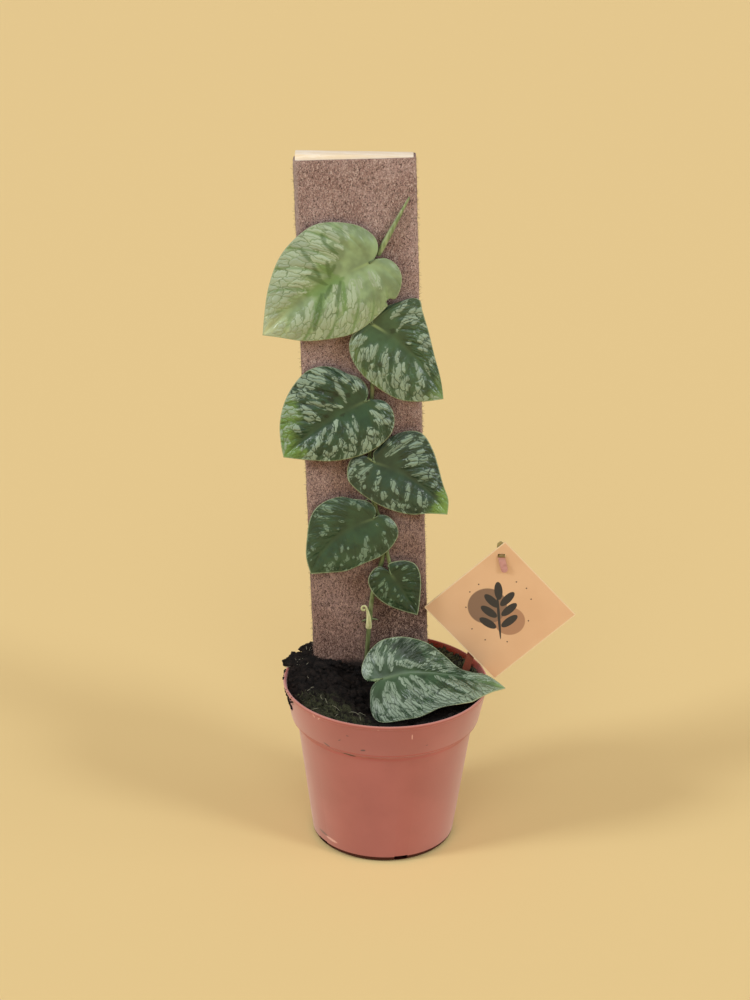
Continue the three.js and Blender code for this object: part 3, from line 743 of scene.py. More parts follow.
for tuft_x, tuft_y, spread, count, tallest, cushion in TUFTS:
    for _ in range(count):
        x = moss_dice.gauss(tuft_x, spread)
        y = moss_dice.gauss(tuft_y, spread)
        if math.hypot(x, y) > MOSS_REACH:
            continue
        tall = moss_dice.uniform(0.36, 1) * tallest
        lean = turn(moss_dice.uniform(0, math.tau), "Z") @ turn(moss_dice.uniform(0, 1.2), "X")
        z = on_soil(x, y) + 0.3 + cushion * moss_dice.random()
        add_spike(moss, (x, y, z), lean, tall, 0.22, 0.5)
moss_finish = Finish("moss")
moss_finish.ground(moss_finish.noise(3).step(0.4, 0.6), (30, 31, 19), (80, 83, 54))
moss_finish.set(Roughness=0.8)
make_piece("moss_tufts", moss, [moss_finish])

# %% [markdown]
# Fine pale roots lie on the soil and stick out of the spill. They are rods that thin towards both ends.

# %% Root fibres
SPILL_FIBRES = 46
# Each long fibre: x and y of its start, and its length.
LONG_FIBRES = [
    (-36, -24, 9), (-33, -27, 6), (-26, -33, 8), (-22, -30, 9), (-14, -34, 6), (-42, -10, 5), (-40, -8, 7),
    (-30, -40, 7), (-8, -44, 5), (-20, -44, 6), (-46, 2, 5), (-16, -22, 7), (-38, -34, 6), (-4, -50, 5),
]
fibres = bmesh.new()
fibre_dice = random.Random(8)
for x, y, length in LONG_FIBRES:
    heading = fibre_dice.uniform(0, math.tau)
    points = []
    for i in range(4):
        heading += fibre_dice.uniform(-0.7, 0.7)
        points.append((x, y, on_soil(x, y) + 0.7 + 0.9 * math.sin(math.pi * i / 3)))
        x += length / 3 * math.cos(heading)
        y += length / 3 * math.sin(heading)
    add_rod(fibres, points, 10, fading(10, 0.13, 0.3, 0.3), 5)
for _ in range(SPILL_FIBRES):
    spot = fibre_dice.choice(SPILL) + Vector([fibre_dice.gauss(0, spread) for spread in (5, 6, 1)])
    if math.hypot(spot.x, spot.y) > 59:
        continue
    spot.z = 100.5 + fibre_dice.uniform(0, 1)
    lean = Vector((fibre_dice.gauss(-0.5, 0.9), fibre_dice.gauss(0, 0.9), fibre_dice.uniform(0.1, 1)))
    lean.normalize()
    bend = Vector([fibre_dice.gauss(0, 0.8) for _ in range(3)])
    points = [spot, spot + lean * 1.6 + bend * 0.3, spot + lean * 3.2 + bend]
    add_rod(fibres, points, 6, fading(6, 0.12, 0.4, 0.2), 4)
fibre_finish = Finish("pale_root")
fibre_finish.ground(fibre_finish.noise(2), (120, 118, 98), (176, 172, 150))
fibre_finish.set(Roughness=0.7)
make_piece("root_fibres", fibres, [fibre_finish])

# %% [markdown]
# ## The board
#
# The climbing support is a plank inside a sleeve of felt. The plank is a bevelled block whose pale end
# shows at the top, where it was sawn at a slight slope. A narrower block stands in the soil. The sleeve is
# a rounded tube with an open top that is cut square, a little below the plank's end.

# %% Plank
LEAN = math.radians(2.6)
BOARD_PIVOT = (-8.7, 0, 96)
BOARD_MIDDLE_Y = 24
BOARD_TOP = 313.5
BOARD_FOOT = -16
PLANK_WIDTH = 65
PLANK_DEPTH = 9
SAW_SLOPE = 2.8
TANG_SIZE = (40, 8.9, 52)
board_place = move(*BOARD_PIVOT) @ turn(-LEAN, "Y")
plank = box(PLANK_WIDTH, PLANK_DEPTH, BOARD_TOP - BOARD_FOOT)
plank.transform(move(0, BOARD_MIDDLE_Y, (BOARD_TOP + BOARD_FOOT) / 2))
for vert in plank.verts:
    if vert.co.z > 0:
        vert.co.z += SAW_SLOPE * (0.5 - vert.co.x / MM / PLANK_WIDTH) * MM
round_edges(plank, plank.edges[:], 0.5, 2)
tang = box(*TANG_SIZE)
tang.transform(move(0, BOARD_MIDDLE_Y, -42))
gather(plank, tang)
plank.transform(board_place)

softwood = Finish("sawn_softwood")
rings = softwood.noise(5, 3, 0.6, softwood.place((0.25, 1.6, 1)), 0.6)
fuzz = softwood.noise(0.6, 2, 0.6)
softwood.ground(rings.step(0.35, 0.65), (240, 224, 198), (250, 240, 224))
softwood.paint(fuzz.step(0.6, 0.75) * 0.4, (214, 190, 156))
softwood.set(Roughness=0.85)
softwood.bump(fuzz, 0.5, 0.2)
make_piece("plank", plank, [softwood], ["board_core"])

# %% Felt sleeve
FELT_BOTTOM = -13
FELT_TOP = 312.9
FELT_STEPS = 150
FELT_THICK = 0.9
FELT_ROUND = 3
felt = bmesh.new()
corners = []
for middle_x, middle_y, start in ((31, 3, 0), (-31, 3, 90), (-31, -3, 180), (31, -3, 270)):
    for i in range(6):
        x, y = on_circle(FELT_ROUND, math.radians(start + 18 * i))
        corner = Vector((middle_x + x, BOARD_MIDDLE_Y + middle_y + y, FELT_BOTTOM))
        corners.append(felt.verts.new(corner * MM))
for i in range(len(corners)):
    felt.edges.new((corners[i - 1], corners[i]))
for shortest, cuts in ((20, 30), (4, 3)):
    long_edges = [edge for edge in felt.edges if edge.calc_length() > shortest * MM]
    bmesh.ops.subdivide_edges(felt, edges=long_edges, cuts=cuts)
ring_edges = felt.edges[:]
for _ in range(FELT_STEPS):
    ring, ring_edges = grow(felt, ring_edges)
    bmesh.ops.translate(felt, vec=(0, 0, (FELT_TOP - FELT_BOTTOM) / FELT_STEPS * MM), verts=ring)
bmesh.ops.recalc_face_normals(felt, faces=felt.faces)
felt.normal_update()
for vert in felt.verts:
    spot = vert.co / MM
    dents = 0.35 * noise.noise(spot / 14) + 0.22 * noise.noise(spot / 3.5) + 0.12 * noise.noise(spot / 1.4)
    vert.co += vert.normal * (dents - 0.25) * MM
bmesh.ops.solidify(felt, geom=felt.faces[:], thickness=FELT_THICK * MM)
felt.transform(board_place)

# %% [markdown]
# Matted felt reads as thousands of tiny fibres, some catching the light and some in shade. Fine noise gives
# that salt-and-pepper look and wider noise gives the worn cloudiness. The cloth darkens towards its foot and
# turns near black just above the soil. One long brown patch above that is partly a stain and partly painted
# shadow of the leaves over it, and the left edge is rubbed pale near the top.

# %% Felt finish
cloth = Finish("mauve_felt")
x, _, height = cloth.axes()
clouds = cloth.noise(24, 3, 0.55)
tangle = cloth.noise(0.74, 2, 0.6, cloth.place((1, 1, 0.75)), 1.5)
hairs = cloth.noise(0.64, 2, 0.6, cloth.place((1, 1, 0.4), (0, 0.5, 0)), 1.8)
blots = cloth.noise(1.25, 2, 0.6, cloth.place((1, 1, 0.7), (0, -0.4, 0)), 1.2)
lowness = (height + clouds * 80).step(400, 160)
# Darker in a band above the soil.
lower_band = (height + clouds * 30).step(142, 112)
# A long brown patch: partly a stain, partly painted shadow of the leaves above it.
stain_and_leaf_shadow = (cloth.away_from((9, 18, 125.45), (1, 1, 0.55)) + clouds * 6).step(29, 10)
cloth.ground(clouds.step(0.35, 0.65), (150, 119, 112), (174, 146, 141))
cloth.paint(lowness * 0.4, (104, 74, 60))
cloth.paint(lower_band * 0.55, (70, 44, 34))
cloth.paint(stain_and_leaf_shadow * 0.85, (56, 33, 25))
cloth.paint(tangle.step(0.5, 0.41) * 0.9, (46, 28, 24))
cloth.paint(blots.step(0.46, 0.38) * lowness * 0.75, (44, 26, 20))
cloth.paint(blots.step(0.57, 0.64) * lowness * 0.5, (186, 156, 140))
cloth.paint(hairs.step(0.53, 0.6) * 0.75, cloth.mix(lowness, (220, 198, 190), (186, 154, 138)))
across = x + height * math.tan(LEAN) + 4.3
worn = across.step(-30.8, -32.4) * height.step(350, 370)
cloth.paint(worn * 0.55, (168, 152, 148))
cloth.paint(across.step(-33.2, -33.9) * 0.5, (70, 52, 46))
# Near black along the foot, just above the soil, and in a patch at the stem's foot.
dark_front_patch = (cloth.away_from((-16.875, 18, 90), (0.8, 1, 1)) + tangle * 3).step(16.5, 12)
dark_foot_band = (height + clouds * 14 + tangle * 3).step(111.5, 106)
cloth.paint(dark_front_patch.at_least(dark_foot_band) * 0.92, (24, 17, 14))
cloth.set(Roughness=1.0, Specular_IOR_Level=0.1, Sheen_Weight=0.12, Sheen_Roughness=0.6)
cloth.bump(tangle + hairs * 0.6, 0.9, 0.7)
make_piece("felt_sleeve", felt, [cloth], ["board_cover"], crease=60)

# %% [markdown]
# Loose hairs stand off the felt and blur its outline. They are short three-sided spikes, set at random on
# the sleeve's four sides, denser on its narrow sides where the cloth is rubbed.

# %% Felt hairs
HAIR_COUNT = 5200
SLEEVE_HALF_WIDTH = 33.8
SLEEVE_HALF_DEPTH = 5.8
hair_dice = random.Random(21)


def hair_root():
    """A random place on the sleeve, and the direction that points away from the cloth there."""
    narrow_side = hair_dice.random() < 0.4
    if narrow_side:
        x = hair_dice.choice((-33.6, 33.6)) + hair_dice.uniform(-0.6, 0.2)
    else:
        x = hair_dice.uniform(-33.5, 33.5)
    facing = -1 if hair_dice.random() < 0.65 else 1
    if narrow_side:
        y = hair_dice.uniform(-5, 5)
        z = hair_dice.uniform(2, BOARD_TOP - 2.4)
        facing = math.copysign(1, x)
        return Vector((facing * SLEEVE_HALF_WIDTH, BOARD_MIDDLE_Y + y, z)), Vector((facing, 0, 0))
    z = hair_dice.uniform(2, BOARD_TOP - 2.4)
    return Vector((x, BOARD_MIDDLE_Y + facing * SLEEVE_HALF_DEPTH, z)), Vector((0, facing, 0))


fuzz_coat = bmesh.new()
for _ in range(HAIR_COUNT):
    root, outward = hair_root()
    tall = hair_dice.uniform(0.7, 2.2)
    direction = outward * hair_dice.uniform(0.1, 0.7) + Vector([hair_dice.gauss(0, 0.7) for _ in range(3)])
    if direction.dot(outward) < 0.05:
        direction += outward * (0.1 - direction.dot(outward))
    lean = direction.to_track_quat("Z", "Y").to_matrix().to_4x4()
    add_spike(fuzz_coat, root, lean, tall, 0.07, 0.4)
fuzz_coat.transform(board_place)
hair_finish = Finish("felt_hair")
hair_finish.ground(hair_finish.noise(2.5, 0).step(0.4, 0.6), (96, 70, 62), (190, 164, 152))
hair_finish.set(Roughness=1.0, Specular_IOR_Level=0.1)
make_piece("felt_hairs", fuzz_coat, [hair_finish])

# %% [markdown]
# ## The vine
#
# The stem, the leaf stalks and the clinging roots are round rods that grow out of one another. The rods
# start inside the stem, so no seam shows where they branch. The dry sheath below the leaves is one more
# rod, which curls over at its tip.

# %% Vine paths
STEM_Y = 16.2
STEM_PATH = [
    (-11.4, 15, 76), (-11.8, 15.6, 98), (-11, STEM_Y, 114), (-9.6, STEM_Y, 137), (-7.3, STEM_Y, 155),
    (-3.4, STEM_Y, 169), (-2, STEM_Y, 179), (-3.6, STEM_Y, 190), (-8, STEM_Y, 203), (-11.2, STEM_Y, 222),
    (-11.6, STEM_Y, 245), (-11, STEM_Y, 271), (-10.4, STEM_Y, 302), (-9.8, STEM_Y, 337),
    (-9.4, STEM_Y, 352.5),
]
LOW_STALK = [(-11.8, 15.2, 95), (-10.6, 9, 98.5), (-6, 0.5, 98.4), (-2.4, -3.5, 100.4), (-1.8, -4.6, 102)]
SHEATH = [
    (-10.5, 15, 126), (-10.5, 13.6, 129.5), (-10.8, 13, 134), (-11.6, 12.8, 138), (-12.8, 12.8, 140.6),
    (-14.3, 12.8, 140.4), (-14.8, 12.8, 138.8), (-13.7, 12.8, 137.8), (-12.9, 12.8, 138.7),
]
# Where each stalk leaves the stem, and where its leaf starts, as (x, z).
STALKS = [
    ((-9.9, 338), (-14, 351.3)), ((-10.4, 303), (-11.1, 315.3)), ((-11.2, 257), (-15.4, 269)),
    ((-11.6, 219), (-8.3, 231.7)), ((-4.4, 188), (-9.4, 196.5)), ((-1.9, 180), (2.2, 161.4)),
]
ROOT_NODES = [(-10, 131), (-9.2, 208), (-11.6, 247), (-10.6, 288)]

# %% Stem, stalks and roots
STEM_STEPS = 150
STALK_STEPS = 26
SHEATH_STEPS = 40
ROOT_STEPS = 10
vine = bmesh.new()
joints = [z for _, z in [start for start, _ in STALKS] + ROOT_NODES]
stem_radii = []
for i in range(STEM_STEPS + 1):
    z = 76 + 276.5 * i / STEM_STEPS
    knuckle = max(math.exp(-((z - joint) / 2.2) ** 2) for joint in joints)
    stem_radii.append(1.4 * (1 + 0.22 * knuckle) - 0.25 * i / STEM_STEPS)
add_rod(vine, STEM_PATH, STEM_STEPS, stem_radii, 14)

stalk_radii = [1.15 + 0.2 * abs(2 * i / STALK_STEPS - 1) ** 3 for i in range(STALK_STEPS + 1)]
for (start_x, start_z), (end_x, end_z) in STALKS:
    bend_z = end_z - math.copysign(1.3, end_z - start_z)
    middle = ((start_x + end_x) / 2, 15.3, (start_z + end_z) / 2)
    points = [(start_x, STEM_Y, start_z), middle, (end_x, 14.6, bend_z), (end_x, 13.2, end_z),
              (end_x, 12.5, end_z)]
    add_rod(vine, points, STALK_STEPS, stalk_radii)
add_rod(vine, LOW_STALK, STALK_STEPS, stalk_radii)

root_dice = random.Random(3)
for x, z in ROOT_NODES:
    for side in (-1, 1):
        drop = root_dice.uniform(-1.6, 0.4)
        points = [(x, 16.4, z), (x + side * 2.4, 16.7, z + drop), (x + side * 4.6, 17.2, z + drop * 2.2)]
        add_rod(vine, points, ROOT_STEPS, [0.75 - 0.045 * i for i in range(ROOT_STEPS + 1)], 8)
sheath_radii = [1.85 - 1.2 * min(i / 24, 1) ** 1.5 for i in range(SHEATH_STEPS + 1)]
sheath = rod(smooth_path(SHEATH, SHEATH_STEPS), sheath_radii)

# %% [markdown]
# Young stems are pale green with a waxy sheen, and turn olive where they leave the soil. Thin lengthwise
# streaks come from noise that is stretched along the height.

# %% Vine finish
stem_finish = Finish("green_stem")
streaks = stem_finish.noise(1.4, 3, 0.6, stem_finish.place((1, 1, 0.12)))
stem_finish.ground(streaks.step(0.35, 0.65), (80, 96, 54), (116, 132, 86))
stem_finish.paint(stem_finish.noise(7, 2).step(0.55, 0.7) * 0.6, (140, 148, 108))
stem_finish.paint(stem_finish.axes()[2].step(135, 100) * 0.7, (70, 70, 40))
stem_finish.set(Roughness=0.45, Subsurface_Weight=0.1, Subsurface_Radius=(0.001, 0.002, 0.0005))
stem_finish.bump(streaks, 0.5, 0.15)
make_piece("stem_and_stalks", vine, [stem_finish], ["vine_stem"], crease=50)
sheath_finish = Finish("dry_sheath")
dry = sheath_finish.noise(1.2, 3, 0.6, sheath_finish.place((1, 1, 0.2)))
sheath_finish.ground(dry.step(0.35, 0.65), (168, 170, 118), (206, 206, 158))
sheath_finish.set(Roughness=0.6)
make_piece("bract", sheath, [sheath_finish], crease=50)

# %% [markdown]
# The newest leaf is still rolled up. A rolled leaf is a scroll, so its section is a spiral whose outer edge
# shows as a line that runs up the spear.

# %% Rolled leaf
SPEAR_FOOT = Vector((-9.2, 15.8, 354.4))
SPEAR_TIP = Vector((8, 16.4, 388.8))
SPEAR_SIDES = 28
SPEAR_STEPS = 60
SCROLL_EDGE = 0.93
length = (SPEAR_TIP - SPEAR_FOOT).length
axis = (SPEAR_TIP - SPEAR_FOOT).normalized()
profile = [(0, 0.05), (0.3, 1.1), (3, 1.6), (0.2 * length, 1.75), (0.45 * length, 1.5), (0.78 * length, 0.9),
           (length - 0.6, 0.35), (length, 0.02)]
rings = smooth_path([(along, radius, 0) for along, radius in profile], SPEAR_STEPS)
spear_path = [SPEAR_FOOT.lerp(SPEAR_TIP, ring.x / length) for ring in rings]
spear = rod(spear_path, [max(ring.y, 0.02) for ring in rings], SPEAR_SIDES)
for vert in spear.verts:
    along = (vert.co / MM - SPEAR_FOOT).dot(axis)
    centre = SPEAR_FOOT + axis * along
    out = vert.co / MM - centre
    angle = math.atan2(out.y, out.dot(Vector((0, 1, 0)).cross(axis))) + along * 0.05
    around = (angle / math.tau) % 1
    if around < SCROLL_EDGE:
        scroll = 0.86 + 0.14 * around
    else:
        scroll = 0.86 + 2 * (1 - around) * SCROLL_EDGE
    vert.co = (centre + out * scroll) * MM
spear_finish = Finish("rolled_leaf")
veins = spear_finish.noise(1.2, 3, 0.5, spear_finish.place((1, 1, 0.1), (0, -0.45, 0)))
spear_finish.ground(veins.step(0.4, 0.62), (112, 130, 84), (146, 162, 116))
spear_finish.set(Roughness=0.42, Subsurface_Weight=0.1, Subsurface_Radius=(0.001, 0.002, 0.0005))
spear_finish.bump(veins, 0.4, 0.12)
make_piece("rolled_leaf", spear, [spear_finish], ["new_leaf_spear"], crease=40)

# %% [markdown]
# ## The leaves
#
# A shingling leaf is a heart with two unequal halves. A flat grid is bent to it by formula: `along` runs
# from the stalk round the margin to the tip, and `across` runs from the midrib to the margin, so the grid
# lines follow the side veins. The silver marks are listed as short strokes in these two shares, because
# they too follow the veins. A painted picture would be simpler, but strokes stay sharp at any distance and
# can be changed one by one.

# %% Leaf outlines
# Each leaf: its pairs of side veins and how much it swells between them, the (x, z) and the heading in
# degrees where it leaves its stalk, its length, the bow of its midrib, and the outlines of its two halves.
LEAVES = {
    "leaf_1": {
        "veins": 9, "swelling": 0.8,
        "at": (-14, 351.3), "heading": 215.6, "length": 72, "bow": 3.4, "bite": (3, -25.5, 2.6),
        "upper": [(0, 0), (-5, 0.8), (-9, 4), (-11, 9.5), (-8, 19), (0, 27.5), (11, 34), (22, 34.8), (38, 31),
                  (54, 20), (67, 6), (72, 0)],
        "lower": [(0, 0), (-5, 0.8), (-9, 2.8), (-12, 9), (-10.5, 17), (-3, 24.2), (6, 26.2), (19, 28.3),
                  (30, 28), (42, 23.5), (55, 16), (66, 5.5), (72, 0)],
    },
    "leaf_2": {
        "veins": 9, "swelling": 0.6,
        "at": (-11.1, 315.3), "heading": -46.2, "length": 58.4, "bow": 4.6,
        "upper": [(0, 0), (-4, 3.2), (-4.2, 8), (-0.5, 17.5), (4, 26.5), (7.5, 28.6), (13, 25.6), (24, 20.2),
                  (36, 13.5), (48, 7.2), (55.7, 2.1), (58.4, 0)],
        "lower": [(0, 0), (-4.5, 2), (-5.3, 6.5), (-3.5, 13), (0, 18.3), (7, 22.3), (17, 24), (30, 22.5),
                  (42, 18.5), (51, 10.5), (58.4, 0)],
    },
    "leaf_3": {
        "veins": 9, "swelling": 0.8,
        "at": (-15.4, 269), "heading": 216.5, "length": 56.3, "bow": 2.4,
        "upper": [(0, 0), (-4.5, 2.2), (-6.5, 6.5), (-5.7, 13), (-2, 18.5), (2, 25.5), (8.5, 31), (17, 33),
                  (28, 30.4), (38, 25), (47, 16.5), (53.3, 6.5), (56.3, 0)],
        "lower": [(0, 0), (-6, 2.6), (-9.6, 6.5), (-10.4, 12), (-8, 18.5), (-2.5, 23.8), (5, 26), (14, 26),
                  (24, 23.4), (36, 17.5), (47.7, 8), (56.3, 0)],
    },
    "leaf_4": {
        "veins": 9, "swelling": 0.5,
        "at": (-8.3, 231.7), "heading": -35.7, "length": 51.5, "bow": 5,
        "upper": [(0, 0), (-4.5, 3.8), (-4, 9.5), (-2, 17.5), (2, 24.5), (8, 29), (13, 29.5), (22, 25.5),
                  (30, 19.8), (38.4, 13.1), (46.5, 7.5), (49.5, 3.5), (51.5, 0)],
        "lower": [(0, 0), (-5.5, 0.6), (-10.5, 1.4), (-12.5, 6), (-11, 12), (-6.5, 17.6), (0, 19.4),
                  (12, 19.6), (25, 17), (35, 12.6), (43, 5.8), (51.5, 0)],
    },
    "leaf_5": {
        "veins": 9, "swelling": 0.25,
        "at": (-9.4, 196.5), "heading": 223.7, "length": 48.9, "bow": 6,
        "upper": [(0, 0), (-4, 1.4), (-6, 5.5), (-4.8, 10.6), (0, 16.5), (4.5, 22.3), (12, 26), (20, 26.8),
                  (27, 24.2), (36, 17), (44, 9), (48.9, 0)],
        "lower": [(0, 0), (-4.5, 0.7), (-7.5, 4), (-8, 10.5), (-5, 16.5), (2, 19.6), (11, 20), (22, 16.5),
                  (33, 12.6), (42, 5.8), (48.9, 0)],
    },
    "leaf_6": {
        "veins": 8, "swelling": 0.4,
        "at": (2.2, 161.4), "heading": -57.3, "length": 29, "bow": 0.4,
        "upper": [(0, 0), (-3.6, 0.6), (-6.4, 2), (-6, 5.6), (-2.6, 12), (1.5, 15), (6.5, 15), (13, 12.2),
                  (20, 7.4), (26, 2.8), (29, 0)],
        "lower": [(0, 0), (-4.5, 0.8), (-7.8, 3), (-8.3, 7), (-4.5, 13.2), (1.5, 15.1), (8, 14.4), (15, 11.6),
                  (23, 5.6), (29, 0)],
    },
    "leaf_7": {
        "veins": 12, "swelling": 0.7,
        "length": 71.7, "bow": 0,
        "midrib": [(-1.6, -5, 102.5), (14, -6, 107), (37, -8, 107.1), (59.5, -11.5, 103.6),
                   (69.6, -13, 101.9)],
        "upper": [(0, 0), (-5, 0.8), (-10, 1), (-13, 5.5), (-13, 11), (-9.5, 17.5), (-2.5, 22.8), (5, 23.3),
                  (16, 21), (27, 17.4), (36, 11.5), (44, 5.8), (53, 4.8), (60, 5.8), (66, 3.6), (71.7, 0)],
        "lower": [(0, 0), (-4, 1), (-7, 4), (-7.7, 12), (-7, 19), (-3, 25.5), (6, 28), (20, 27.6), (32, 23.6),
                  (44, 23), (51, 20), (56, 14.5), (62, 8), (71.7, 0)],
    },
}
